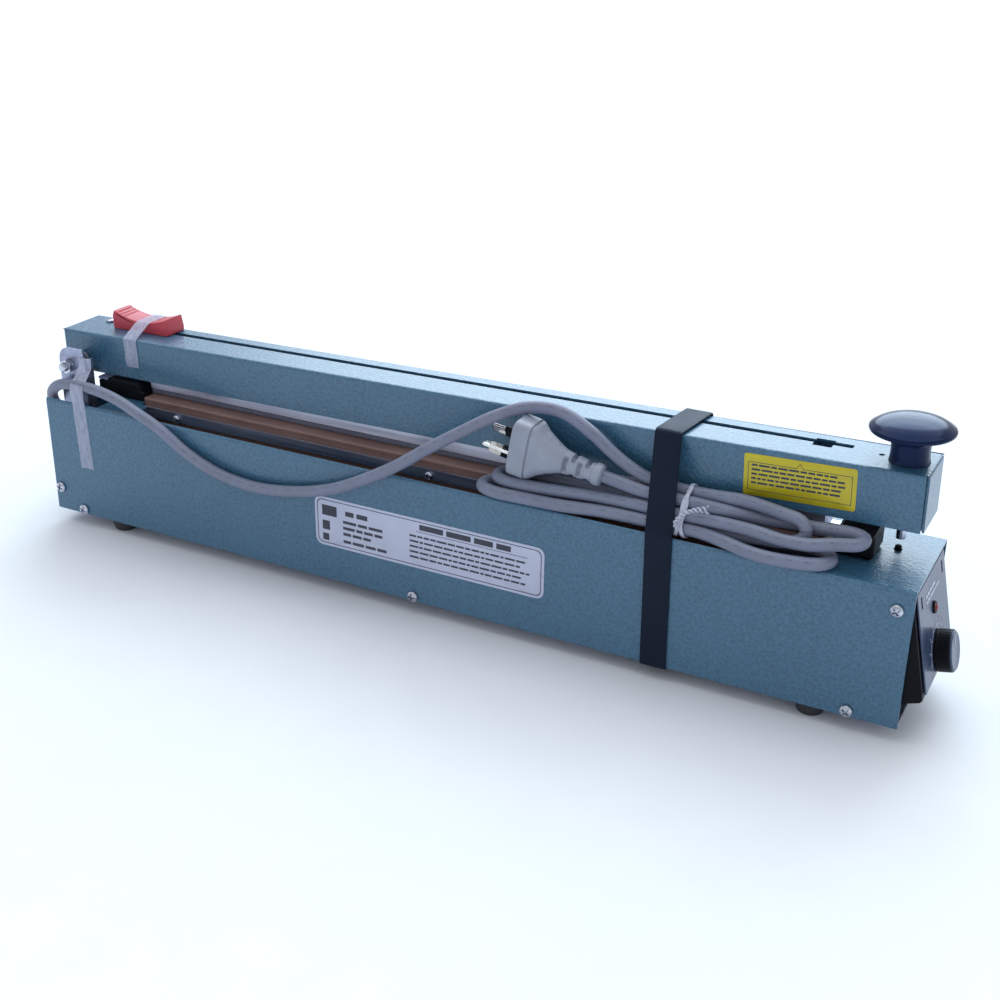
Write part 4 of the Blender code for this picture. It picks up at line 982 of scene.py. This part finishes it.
def plug_pins():
    """Flat blades with rounded tips; live and neutral carry a black sleeve next to the plug's face."""
    made = []
    pins = {  # y, z, lean, half thickness, half width, sleeve length
        "live": (0.0040, 0.0025, 30.0, 0.0008, 0.0030, 0.0085),
        "neutral": (0.0040, -0.0095, -30.0, 0.0008, 0.0030, 0.0085),
        "earth": (-0.0052, -0.0035, 0.0, 0.0030, 0.0008, 0.0),
    }
    pin_length = 0.0170
    tip = 0.0022  # length of the rounded end
    for name, (y, z, lean, half_y, half_z, sleeve) in pins.items():
        place = PLUG @ Matrix.Translation((0.0, y, z)) @ Matrix.Rotation(math.radians(lean), 4, "X")
        straight = np.linspace(sleeve or 0.0004, pin_length - tip, 6)
        rounding = pin_length - tip * (1 - np.sin(np.linspace(0.2, 1.5, 8)))
        along = np.concatenate([[0.0], straight, rounding])
        path = np.column_stack([-along, 0 * along, 0 * along])
        nose = np.clip((pin_length - along) / tip, 0, 1)
        size = np.sqrt(1 - (1 - nose) ** 2 * 0.9)
        blade = carried(path, superellipse(half_y, half_z, 7.0, 32), (0.0, 1.0, 0.0), scale=size)
        made.append(piece(f"plug_blade_{name}", blade, place, "plug_metal", "base", (f"plug_pin_{name}",)))
        if sleeve:
            line = np.column_stack([-np.linspace(0.0, sleeve, 12), np.zeros(12), np.zeros(12)])
            cover = carried(line, superellipse(half_y + 0.0004, half_z + 0.0004, 6.0, 32), (0.0, 1.0, 0.0))
            made.append(piece(f"plug_sleeve_{name}", cover, place, "black_plastic", "base"))
    return made


def twist_tie():
    """Coated wire: two wraps round the hank's waist, and their ends twisted round each other.

    In each direction a wrap lies at the strand that reaches furthest, plus its clear radius.
    """
    strands = np.array(WAIST_STRANDS)
    a = np.linspace(0, 2 * math.pi, 181)
    direction = np.stack([np.cos(a), np.sin(a)], 1)
    furthest = strands[np.argmax(direction @ strands.T, axis=1)]
    shapes = []
    for offset, slant, clear in ((0.1492, 0.0012, 0.0040), (0.1518, -0.0014, 0.0041)):
        loop = furthest + clear * direction
        path = np.column_stack([offset + slant * np.sin(a), loop])
        path = smooth_line(path[:-1], 0.0006, closed=True)
        shapes.append(carried(path, superellipse(0.0011, 0.00045, 3.0, 10), (1.0, 0.0, 0.0), closed=True))
    core = smooth_line(
        [
            (0.1500, -0.0322, 0.0888),
            (0.1490, -0.0338, 0.0925),
            (0.1510, -0.0330, 0.0965),
            (0.1570, -0.0300, 0.1000),
            (0.1640, -0.0276, 0.1010),
        ],
        0.0004,
    )
    s = np.linspace(0, 1, len(core))
    side = np.cross(tangents(core), (0.0, 1.0, 0.0))
    side /= np.linalg.norm(side, axis=1)[:, None]
    other = np.cross(tangents(core), side)
    for phase in (0.0, math.pi):
        turn = 2 * math.pi * 5 * s + phase
        spread = 0.0006 + 0.0014 * s**6
        strand = core + (spread * np.cos(turn))[:, None] * side + (spread * np.sin(turn))[:, None] * other
        shapes.append(carried(strand, circle(0.0006, 8), (0.0, 1.0, 0.0)))
    return piece("tie", together(*shapes), HOUSING, "tie_plastic", "base", ("twist_tie",))


class SEALER_OT_strap(bpy.types.Operator):
    """Make the woven elastic strap round the arm and the base"""

    bl_idname = "sealer.strap"
    bl_label = "Retaining strap"

    def execute(self, context):
        sizes = context.scene.sealer_sizes
        away = GAP + sizes.strap_thickness / 2
        side = BASE_REAR + away
        under = BASE_BOTTOM - away
        roof = 0.1302 + away
        corners = [
            (0.1332, ARM_FRONT - away, roof),
            (0.1412, -side, BASE_TOP + away),
            (0.1425, -side, under),
            (0.1410, side, under),
            (0.1400, side, BASE_TOP + away),
            (0.1371, ARM_REAR + away, roof),
        ]
        path = rounded(corners, 0.0016, 0.0008, closed=True)
        section = superellipse(sizes.strap_width / 2, sizes.strap_thickness / 2, 5.0, 28)
        shape = carried(path, section, (1.0, 0.0, 0.0), closed=True)
        strap = piece("strap", shape, HOUSING, "black_elastic", None, ("retaining_strap",))
        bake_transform(strap)
        return {"FINISHED"}


class SEALER_OT_sealing_cloth(bpy.types.Operator):
    """Make the coated cloth stretched over the heating ribbon"""

    bl_idname = "sealer.sealing_cloth"
    bl_label = "Sealing cloth"

    def execute(self, context):
        """Stations along the bar by a path up its face and over its top, with a shallow ripple."""
        sizes = context.scene.sealer_sizes
        top, front, rear, hem = 0.0883, -0.0143, 0.0118, 0.0731
        profile = rounded([(front, hem), (front, top), (rear, top)], 0.0011, 0.0005)
        x = np.linspace(-0.2104, 0.2229, 220)[:, None]
        y, z = profile[None, :, 0], profile[None, :, 1]
        face = np.clip((top - z) / 0.004, 0, 1)
        ripple = 0.00016 * face * (1 + np.sin(95 * x + 1.2 * np.sin(31 * x) + 120 * z))
        flat = np.clip((y - front) / 0.004, 0, 1)
        dip = 0.00008 * flat * (1 + np.sin(70 * x + 2 * np.sin(23 * x)))
        points = np.stack([np.broadcast_to(x, (len(x), len(profile))), y + ripple, z - dip], -1)
        width = 0.0154 + rear - front
        u, v = np.meshgrid(x[:, 0], np.linspace(0.0, width, len(profile)), indexing="ij")
        shape = surface(points, np.stack([u, v], -1))
        cloth = piece("sealing_cloth", shape, HOUSING, "ptfe_cloth", "base", ("ptfe_cover",))
        solid = cloth.modifiers.new("cloth", "SOLIDIFY")
        solid.thickness = sizes.cloth_thickness
        solid.offset = 0.0
        return {"FINISHED"}


def cross_recess(r, a, reach, width, depth):
    """Depth of a cross recess at a polar point, eased over a hair's breadth at its edges."""
    u, v = np.abs(r * np.cos(a)), np.abs(r * np.sin(a))
    along, across = np.maximum(u, v), np.minimum(u, v)
    inside = np.clip((width - across) / 0.00018, 0, 1) * np.clip((reach - along) / 0.00025, 0, 1)
    return depth * inside


def pan_screw(radius, height, shank, shank_length, recess):
    """Pan head: a dome h (1 - 0.55 (r / R) ^ 3) with a cross recess, then its underside and shank."""
    r = np.concatenate([np.linspace(0, radius * 0.94, 22), radius * np.array([0.98, 1.0, 1.0])])[:, None]
    a = np.linspace(0, 2 * math.pi, 97)[None, :]
    dome = height * (1 - 0.55 * (r[:22] / radius) ** 3)
    z = np.vstack([dome, height * np.array([[0.44], [0.30], [0.0]])])
    cut = cross_recess(r, a + 0.5, recess, recess * 0.26, height * 0.62)
    head = np.stack([r * np.cos(a), r * np.sin(a), np.maximum(z - cut, 0.0) + GAP], -1)
    under = [(radius, GAP), (shank, GAP), (shank, -shank_length), (0.0, -shank_length)]
    turn = np.column_stack([np.cos(a[0]), np.sin(a[0])])
    below = at_heights([q * turn for q, _ in under], [h for _, h in under])
    return surface(np.concatenate([head, below]))


class SEALER_OT_screws(bpy.types.Operator):
    """Make every pan-head screw with its cross recess"""

    bl_idname = "sealer.screws"
    bl_label = "Screws"

    def execute(self, context):
        big = pan_screw(0.0034, 0.0022, 0.0012, 0.0060, 0.0021)
        for label, (x, z) in FRONT_SCREWS.items():
            turn = Matrix.Rotation(3.7 * x * 100, 4, "Y")
            place = HOUSING @ Matrix.Translation((x, BASE_FRONT, z)) @ turn @ ALONG_FRONT
            piece(f"pan_screw_front_{label}", big, place, "steel", "base", (f"screw_front_{label}",))
        for label in REAR_SCREWS:
            x, z = FRONT_SCREWS[label]
            place = HOUSING @ Matrix.Translation((x, BASE_REAR, z)) @ ALONG_REAR
            piece(f"pan_screw_rear_{label}", big, place, "steel", "base", (f"screw_rear_{label}",))
        small = pan_screw(0.0024, 0.0019, 0.0013, 0.0075, 0.0015)
        for label, x in CLAMP_SCREWS.items():
            turn = Matrix.Rotation(90 * x, 4, "Y")
            place = HOUSING @ Matrix.Translation((x, -0.0161, 0.0797)) @ turn @ ALONG_FRONT
            piece(f"clamp_pan_screw_{label}", small, place, "steel", "base", (f"clamp_screw_{label}",))
        roof = pan_screw(0.0027, 0.0016, 0.0015, 0.0050, 0.0016)
        place = ARM @ Matrix.Translation((0.0010, 0.0176, ARM_ROOF))
        piece("arm_pan_screw", roof, place, "steel", "arm", ("arm_screw",))
        return {"FINISHED"}


class SEALER_OT_hinge(bpy.types.Operator):
    """Make the hinge's chamfered nut, the bolt's threaded end and the return spring"""

    bl_idname = "sealer.hinge"
    bl_label = "Hinge nut and spring"

    def execute(self, context):
        def hexagon(r, a, h):
            """The smaller of the hexagon's radius and the chamfer cone's radius at that height."""
            flat = 0.0040 / np.cos((a + math.pi / 6) % (math.pi / 3) - math.pi / 6)
            return np.where(r > 0.0030, np.minimum(flat, r), r)

        heights = np.linspace(0.0, 0.0040, 12)
        edge = 0.0049 - 0.9 * np.maximum(0, np.maximum(heights - 0.0034, 0.0006 - heights))
        profile = [(0.0026, 0.0), *zip(edge, heights), (0.0028, 0.0040), (0.0026, 0.0036), (0.0026, 0.0)]
        nut = revolved(profile, 96, hexagon)
        place = HOUSING @ Matrix.Translation((PIVOT.x, -0.0223, PIVOT.z)) @ ALONG_FRONT
        piece("hinge_hex_nut", nut, place, "steel", "base", ("hinge_nut",), crease=25)
        crests = [(0.00225 if k % 2 else 0.0025, 0.00028 * k) for k in range(13)]
        thread = [(0.0, 0.0), *crests, (0.0020, 0.0038), (0.0, 0.0038)]
        place = HOUSING @ Matrix.Translation((PIVOT.x, -0.0258, PIVOT.z)) @ ALONG_FRONT
        piece("bolt_thread", revolved(thread, 40), place, "steel", "base")
        self.spring()
        return {"FINISHED"}

    def spring(self):
        """Wire along a helix about the bolt, (r cos a, y, r sin a), with a straight leg at each end."""
        radius, turns, start, end = 0.0050, 4, -0.0197, -0.0083
        a = np.linspace(-math.pi / 2, (2 * turns - 0.5) * math.pi, turns * 48 + 1)
        x, z = PIVOT.x + radius * np.cos(a), PIVOT.z + radius * np.sin(a)
        coil = np.column_stack([x, np.linspace(start, end, len(a)), z])
        low_leg = [(PIVOT.x - 0.0052, start, PIVOT.z - 0.0215), (PIVOT.x - 0.0042, start, PIVOT.z - 0.0065)]
        high_leg = [(PIVOT.x + 0.0048, end, PIVOT.z - 0.0052), (PIVOT.x + 0.0092, end, PIVOT.z - 0.0054)]
        line = evenly(np.vstack([low_leg, coil, high_leg]), 0.0004)
        shape = carried(line, circle(0.0008, 10), (0.0, 1.0, 0.0))
        piece("torsion_spring", shape, HOUSING, "spring_steel", "base", ("return_spring",))


class SEALER_OT_feet(bpy.types.Operator):
    """Make the four rubber feet"""

    bl_idname = "sealer.feet"
    bl_label = "Rubber feet"

    def execute(self, context):
        profile = [(0.0, 0.0081), (0.0085, 0.0081), (0.0085, 0.0062), (0.0080, 0.0055)]
        profile += [(0.0071, 0.0012), (0.0067, 0.0004), (0.0062, 0.0)]
        profile += [(0.0030, 0.0), (0.0026, 0.0016), (0.0, 0.0016)]
        shape = revolved(profile, 40)
        for side, y in (("front", -0.0245), ("rear", 0.0245)):
            for end, x in (("left", -0.226), ("right", 0.226)):
                place = HOUSING @ Matrix.Translation((x, y, 0.0))
                node = f"rubber_foot_{side}_{end}"
                piece(f"foot_{side}_{end}", shape, place, "foot_rubber", "base", (node,))
        return {"FINISHED"}


class SEALER_OT_handle(bpy.types.Operator):
    """Make the mushroom handle on its neck"""

    bl_idname = "sealer.handle"
    bl_label = "Handle"

    def execute(self, context):
        """A smooth profile through the cap's dome, its rolled rim, its hollow underside and the neck."""
        rim = context.scene.sealer_sizes.handle_radius
        dome = [(0.0, 0.0235), (0.0060, 0.0232), (0.0115, 0.0223), (0.0160, 0.0208)]
        dome += [(0.0193, 0.0189), (rim, 0.0171)]
        under = [(0.0209, 0.0161), (0.0190, 0.0153), (0.0155, 0.0143), (0.0120, 0.0130)]
        under += [(0.0103, 0.0112), (0.0098, 0.0085)]
        neck = [(0.0097, 0.0050), (0.0099, 0.0016), (0.0102, GAP)]
        profile = smooth_line(dome + under + neck, 0.0005)
        profile[0] = (0.0, profile[0, 1])
        shape = revolved(np.vstack([profile, (0.0, GAP)]), 72)
        place = ARM @ Matrix.Translation((HANDLE_X, ARM_MIDDLE, ARM_ROOF))
        piece("mushroom_handle", shape, place, "navy_plastic", "arm", ("handle_knob",))
        return {"FINISHED"}


def slide_top(x):
    """Height of the thumb slide's saddle: a parabola, with three grooves across its left end."""
    saddle = 0.0068 + 10.1 * (x - 0.0235) ** 2
    grooves = sum(np.exp(-(((x - at) / 0.00042) ** 2)) for at in (0.0040, 0.0066, 0.0092))
    return saddle - 0.0006 * grooves


class SEALER_OT_slide(bpy.types.Operator):
    """Make the cutter's saddle-shaped thumb slide"""

    bl_idname = "sealer.slide"
    bl_label = "Cutter slide"

    def execute(self, context):
        """The side outline repeated across the slide, drawn in along a quarter circle at its two sides."""
        span, half, ease = 0.0442, 0.008, 0.0009
        top_x = np.linspace(span - 0.0016, 0.0016, 130)
        outline = np.vstack(
            [
                [(0.0006, GAP), (span - 0.0006, GAP), (span, 0.0012), (span, 0.0040)],
                np.column_stack([top_x, slide_top(top_x)]),
                [(0.0004, 0.0092), (0.0, 0.0078), (0.0, 0.0012), (0.0006, GAP)],
            ]
        )
        t = np.linspace(0, math.pi / 2, 6)
        inset = ease * (1 - np.sin(t))
        near = half - ease * (1 - np.cos(t))
        y = np.concatenate([[-half], -near, near[::-1], [half]])
        inset = np.concatenate([[ease], inset, inset[::-1], [ease]])
        middle = np.array([span / 2, 0.0034])
        rings = []
        for across, drawn in zip(y, inset):
            ring = outline.copy()
            ring[:, 0] = np.clip(ring[:, 0], drawn, span - drawn)
            ring[:, 1] = np.where(ring[:, 1] > 0.003, ring[:, 1] - drawn, ring[:, 1])
            rings.append(np.column_stack([ring[:, 0], np.full(len(ring), across), ring[:, 1]]))
        points = np.stack(rings)
        for end in (0, -1):
            points[end, :, 0], points[end, :, 2] = middle
        shape = surface(points)
        piece("thumb_slide", shape, SLIDE, "coral_plastic", "cutter", ("cutter_slider",), crease=30)
        return {"FINISHED"}


class SEALER_OT_timer(bpy.types.Operator):
    """Make the timer's knob, cap, lamp and dial"""

    bl_idname = "sealer.timer"
    bl_label = "Timer knob and dial"

    def execute(self, context):
        radius = context.scene.sealer_sizes.knob_radius
        axle = DIAL @ Matrix.Translation((0.0, 0.0, KNOB_RISE)) @ ALONG_X

        def fluted(r, a, h):
            """Fine flutes round the side only."""
            side = (r > radius * 0.985) & (h > 0.0026) & (h < 0.0084)
            return r - side * 0.00012 * (0.5 + 0.5 * np.cos(36 * a))

        heights = np.linspace(0.0028, 0.0082, 6)
        profile = [(0.0, -0.0060), (0.0030, -0.0060), (0.0030, 0.0016), (0.0106, 0.0016)]
        profile += [(radius, 0.0020), (radius, 0.0025), *[(radius, h) for h in heights]]
        profile += [(radius, 0.0086), (0.0108, 0.0092), (0.0104, 0.0094), (0.0, 0.0094)]
        shape = revolved(profile, 216, fluted)
        piece("dial_knob", shape, axle, "black_plastic", "knob", ("timer_knob",), crease=28)
        cap = [(0.0, 0.0094), (0.0103, 0.0094), (0.0102, 0.0098), (0.0096, 0.0102)]
        cap += [(0.0092, 0.0101), (0.0, 0.0103)]
        piece("dial_cap", revolved(cap, 72), axle, "panel_film", "knob", ("timer_knob_cap",))
        on_cap = Matrix.Translation((0.0, 0.0, 0.01022))
        pointer = turned_to(printed([(-0.0004, 0.0030, 0.0004, 0.0086)], 0.00012), on_cap)
        piece("dial_pointer", pointer, axle @ Matrix.Rotation(math.pi / 2, 4, "Z"), "panel_print", "knob")
        lamp = smooth_line([(0.0, 0.0034), (0.0010, 0.0031), (0.0017, 0.0022), (0.0019, 0.0010)], 0.0002)
        lamp[0, 0] = 0.0
        lens = revolved(np.vstack([lamp, [(0.0019, -0.0040), (0.0, -0.0040)]]), 32)
        ring = [(0.0021, 0.0014), (0.0031, 0.0014), (0.0034, 0.0019), (0.0031, 0.0023)]
        ring += [(0.0024, 0.0023), (0.0021, 0.0018), (0.0021, 0.0014)]
        bezel = revolved(ring, 32)
        at_lamp = DIAL @ Matrix.Translation((0.0, 0.0, LAMP_RISE)) @ ALONG_X
        piece("lamp_lens", lens, at_lamp, "lamp_red", "base", ("indicator_lamp",))
        piece("lamp_bezel", bezel, at_lamp, "black_plastic", "base")
        self.dial()
        return {"FINISHED"}

    def dial(self):
        """Printed arc, ticks and the numbers 0 to 10 round the knob, and two lines for a heading.

        The print is drawn flat as (u right, v up) and then stood on the panel's face.
        """
        stand_up = Matrix(((0, 0, 1, 0), (1, 0, 0, 0), (0, 1, 0, 0), (0, 0, 0, 1)))
        face = DIAL @ Matrix.Translation((0.00135, 0.0, 0.0)) @ stand_up
        ink = 0.00006
        centre = Matrix.Translation((0.0, KNOB_RISE, 0.0))
        a = np.radians(np.linspace(-122, 122, 90))
        arc = np.stack([np.sin(a), np.cos(a)], 1)
        rings = [arc * r for r in (0.0134, 0.0138, 0.0138, 0.0134, 0.0134)]
        levels = [ink, ink, 0.0, 0.0, ink]
        band = surface(at_heights(rings, levels))
        shapes = [turned_to(band, centre)]
        for number in range(11):
            angle = math.radians(-120 + 24 * number)
            tick = printed([(-0.00018, 0.0138, 0.00018, 0.0151)], ink)
            shapes.append(turned_to(tick, centre @ Matrix.Rotation(-angle, 4, "Z")))
            at = Matrix.Translation((0.0170 * math.sin(angle), 0.0170 * math.cos(angle), 0.0))
            shapes.append(turned_to(numeral(str(number), 0.0026, ink), centre @ at))
        heading = words(-0.0150, 0.0160, (0.0150, 0.0182), 0.0013, 11)
        shapes.append(printed(heading, ink))
        piece("dial_print", together(*shapes), face, "panel_print", "base", weld=1e-7)


def numeral(text, size, thickness):
    """A number in Blender's own plain face as a flat raised shape, centred on the origin."""
    curve = bpy.data.curves.new("numeral", "FONT")
    curve.body = text
    curve.size = size
    curve.align_x = "CENTER"
    curve.align_y = "CENTER"
    curve.extrude = thickness / 2
    curve.resolution_u = 3
    obj = bpy.data.objects.new("numeral", curve)
    bpy.context.scene.collection.objects.link(obj)
    mesh = bpy.data.meshes.new_from_object(obj.evaluated_get(bpy.context.evaluated_depsgraph_get()))
    bpy.data.objects.remove(obj, do_unlink=True)
    mesh.calc_loop_triangles()
    points = np.empty(3 * len(mesh.vertices))
    mesh.vertices.foreach_get("co", points)
    faces = np.empty(3 * len(mesh.loop_triangles), np.int32)
    mesh.loop_triangles.foreach_get("vertices", faces)
    points = points.reshape(-1, 3) + (0.0, 0.0, thickness / 2)
    faces = faces.reshape(-1, 3)
    return points, np.column_stack([faces, faces[:, 2]]), points[:, :2]


class SEALER_OT_front_label(bpy.types.Operator):
    """Make the rating label with unreadable print"""

    bl_idname = "sealer.front_label"
    bl_label = "Front label"

    def execute(self, context):
        half_u, half_v, ink = 0.0740, 0.0155, 0.00005
        film = 0.00018
        place = HOUSING @ Matrix.Translation((0.0030, BASE_FRONT - 0.00005, 0.0455)) @ ALONG_FRONT
        outline = rounded_outline(half_u, half_v, 0.0045)
        piece("front_label", plate(outline, film, 0.00015), place, "front_label_film", "base")
        border = ring_plate(rounded_outline(half_u - 0.0016, half_v - 0.0016, 0.0034), 0.00045, ink)
        rows = 0.0086 - 0.0033 * np.arange(5)
        marks = [(-0.0690, 0.0040, -0.0590, 0.0105), (-0.0690, -0.0052, -0.0640, 0.0006)]
        marks += [(-0.0690, -0.0120, -0.0648, -0.0076)]
        heading = words(-0.0550, -0.0180, (0.0062,), 0.0030, 3)
        left = words(-0.0560, -0.0200, (0.0012, -0.0026, -0.0064, -0.0112), 0.0018, 4)
        title = words(-0.0060, 0.0640, (0.0088,), 0.0034, 5)
        rule = [(-0.0060, 0.0074, 0.0640, 0.0077)]
        lines = words(-0.0110, 0.0690, rows - 0.0048, 0.0012, 6)
        shapes = together(border, printed(marks + heading + left + title + rule + lines, ink))
        on_film = place @ Matrix.Translation((0.0, 0.0, film))
        piece("front_label_print", shapes, on_film, "print_ink", "base", weld=1e-7)
        return {"FINISHED"}


class SEALER_OT_arm_label(bpy.types.Operator):
    """Make the yellow label on the arm with unreadable print"""

    bl_idname = "sealer.arm_label"
    bl_label = "Arm label"

    def execute(self, context):
        half_u, half_v, ink = 0.0289, 0.0113, 0.00005
        film = 0.00018
        lean = Matrix.Rotation(-math.radians(1.2), 4, "Y")
        place = ARM @ Matrix.Translation((0.46525, ARM_FRONT - 0.00005, 0.0034)) @ lean @ ALONG_FRONT
        outline = rounded_outline(half_u, half_v, 0.0014)
        piece("arm_label", plate(outline, film, 0.00012), place, "arm_label_film", "arm")
        edge_u, edge_v, line = half_u - 0.0022, half_v - 0.0042, 0.00030
        peak = 0.0018
        frame_line = [
            (-edge_u, -edge_v - 0.0012, edge_u, -edge_v - 0.0012 + line),
            (-edge_u, -edge_v - 0.0012, -edge_u + line, edge_v),
            (edge_u - line, -edge_v - 0.0012, edge_u, edge_v),
            (-edge_u, edge_v - line, -peak, edge_v),
            (peak, edge_v - line, edge_u, edge_v),
        ]
        slopes = []
        for sign in (-1, 1):
            upper = [(sign * peak, edge_v), (0.0, edge_v + 0.0026)]
            corners = np.array([*upper, (0.0, edge_v + 0.0021), (sign * peak, edge_v - 0.0005)])
            ring = at_heights([corners, corners], (0.0, ink))
            middle = np.repeat(ring.mean(1, keepdims=True), 4, 1)
            rows = np.stack([middle[0], ring[0], ring[1], middle[1]])
            slopes.append(surface(np.concatenate([rows, rows[:, :1]], 1)))
        text = words(-edge_u + 0.0012, edge_u - 0.0008, edge_v - 0.0022 - 0.0024 * np.arange(5), 0.0011, 8)
        shapes = together(printed(frame_line + text, ink), *slopes)
        on_film = place @ Matrix.Translation((0.0, 0.0, film))
        piece("arm_label_print", shapes, on_film, "print_ink", "arm", weld=1e-7)
        return {"FINISHED"}


class SEALER_OT_tapes(bpy.types.Operator):
    """Make the two clear transit tapes, over the cutter slide and over the lead"""

    bl_idname = "sealer.tapes"
    bl_label = "Transit tapes"

    def execute(self, context):
        half = context.scene.sealer_sizes.tape_width / 2
        section = rounded_outline(half, 0.00006, 0.00005, 2)
        over_slide = [(0.0252, 0.0087, 0.0030), (0.0252, 0.0087, 0.0074), (0.0252, -0.0084, 0.0074)]
        over_slide += [(0.0258, -0.02328, 0.0004), (0.0262, -0.02328, -0.0177)]
        path = rounded(over_slide, 0.0009, 0.0004)
        path[:, 2] += 0.00008 * np.sin(900 * path[:, 1])
        piece("slide_tape", carried(path, section, (1.0, 0.0, 0.0)), SLIDE, "clear_tape", "cutter")
        over_lead = [(-0.2482, -0.0226, 0.1100), (-0.2478, -0.0232, 0.1040), (-0.2472, -0.0290, 0.0990)]
        over_lead += [(-0.2466, -0.0342, 0.0955), (-0.2462, -0.0350, 0.0900)]
        over_lead += [(-0.2456, -0.03475, 0.0830), (-0.2440, -0.03475, 0.0410)]
        path = rounded(over_lead, 0.0016, 0.0005)
        piece("lead_tape", carried(path, section, (1.0, 0.0, 0.0)), HOUSING, "clear_tape", "base")
        return {"FINISHED"}


class SEALER_OT_cad_finishes(bpy.types.Operator):
    """Give the CAD nodes that keep their shape their finishes"""

    bl_idname = "sealer.cad_finishes"
    bl_label = "Finishes of the kept CAD nodes"

    def execute(self, context):
        for slot, names in KEPT_NODES.items():
            for name in names:
                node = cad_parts[name]
                node.data.materials.clear()
                node.data.materials.append(finish(slot))
        return {"FINISHED"}


class SEALER_OT_sheet_details(bpy.types.Operator):
    """Make the folded tabs behind the arm's corner reliefs and the ribbon's terminal clip"""

    bl_idname = "sealer.sheet_details"
    bl_label = "Corner tabs and terminal clip"

    def execute(self, context):
        """Each tab is a rounded square carried down a corner, just inside the arm's sheet."""
        inside, half = 0.0014, 0.0019
        section = superellipse(half, half, 6.0, 20)
        ends = {  # x of the tab's middle, and its lower end
            "left": (ARM_LEFT + inside + half, ARM_ROOF - 0.0240),
            "right": (ARM_RIGHT - inside - half, ARM_ROOF - 0.0292),
        }
        sides = {"front": ARM_FRONT + inside + half, "rear": ARM_REAR - inside - half}
        for end, (x, low) in ends.items():
            for side, y in sides.items():
                path = np.linspace((x, y, ARM_ROOF - 0.0016), (x, y, low), 8)
                tab = carried(path, section, (1.0, 0.0, 0.0))
                piece(f"corner_tab_{end}_{side}", tab, ARM, "hammertone_paint", "arm")
        corners = [(-0.2444, -0.0120, 0.0945), (-0.2444, 0.0100, 0.0945), (-0.2444, 0.0116, 0.0934)]
        section = rounded_outline(0.0038, 0.0008, 0.0005, 4)
        clip = carried(rounded(corners, 0.0008, 0.0004), section, (1.0, 0.0, 0.0))
        piece("terminal_clip", clip, HOUSING, "zinc", "base")
        return {"FINISHED"}


STEPS = (
    SEALER_OT_stage,
    SEALER_OT_lead,
    SEALER_OT_strain_relief,
    SEALER_OT_strap,
    SEALER_OT_sealing_cloth,
    SEALER_OT_screws,
    SEALER_OT_hinge,
    SEALER_OT_feet,
    SEALER_OT_handle,
    SEALER_OT_slide,
    SEALER_OT_timer,
    SEALER_OT_front_label,
    SEALER_OT_arm_label,
    SEALER_OT_tapes,
    SEALER_OT_sheet_details,
    SEALER_OT_cad_finishes,
)


class SEALER_PT_pieces(bpy.types.Panel):
    """Lists the settings and a button for each step"""

    bl_idname = "SEALER_PT_pieces"
    bl_label = "Impulse heat sealer"
    bl_space_type = "VIEW_3D"
    bl_region_type = "UI"
    bl_category = "Sealer"

    def draw(self, context):
        for group in (context.scene.sealer_sizes, context.scene.sealer_colours):
            for name in group.__annotations__:
                self.layout.prop(group, name)
        for step in STEPS:
            self.layout.operator(step.bl_idname)


CLASSES = (SealerSizes, SealerColours, *STEPS, SEALER_PT_pieces)


def register():
    for cls in CLASSES:
        bpy.utils.register_class(cls)
    bpy.types.Scene.sealer_sizes = bpy.props.PointerProperty(type=SealerSizes)
    bpy.types.Scene.sealer_colours = bpy.props.PointerProperty(type=SealerColours)


def unregister():
    del bpy.types.Scene.sealer_colours
    del bpy.types.Scene.sealer_sizes
    for cls in reversed(CLASSES):
        bpy.utils.unregister_class(cls)


def main():
    register()
    for step in STEPS:
        group, name = step.bl_idname.split(".")
        getattr(getattr(bpy.ops, group), name)()


if __name__ == "__main__":
    main()
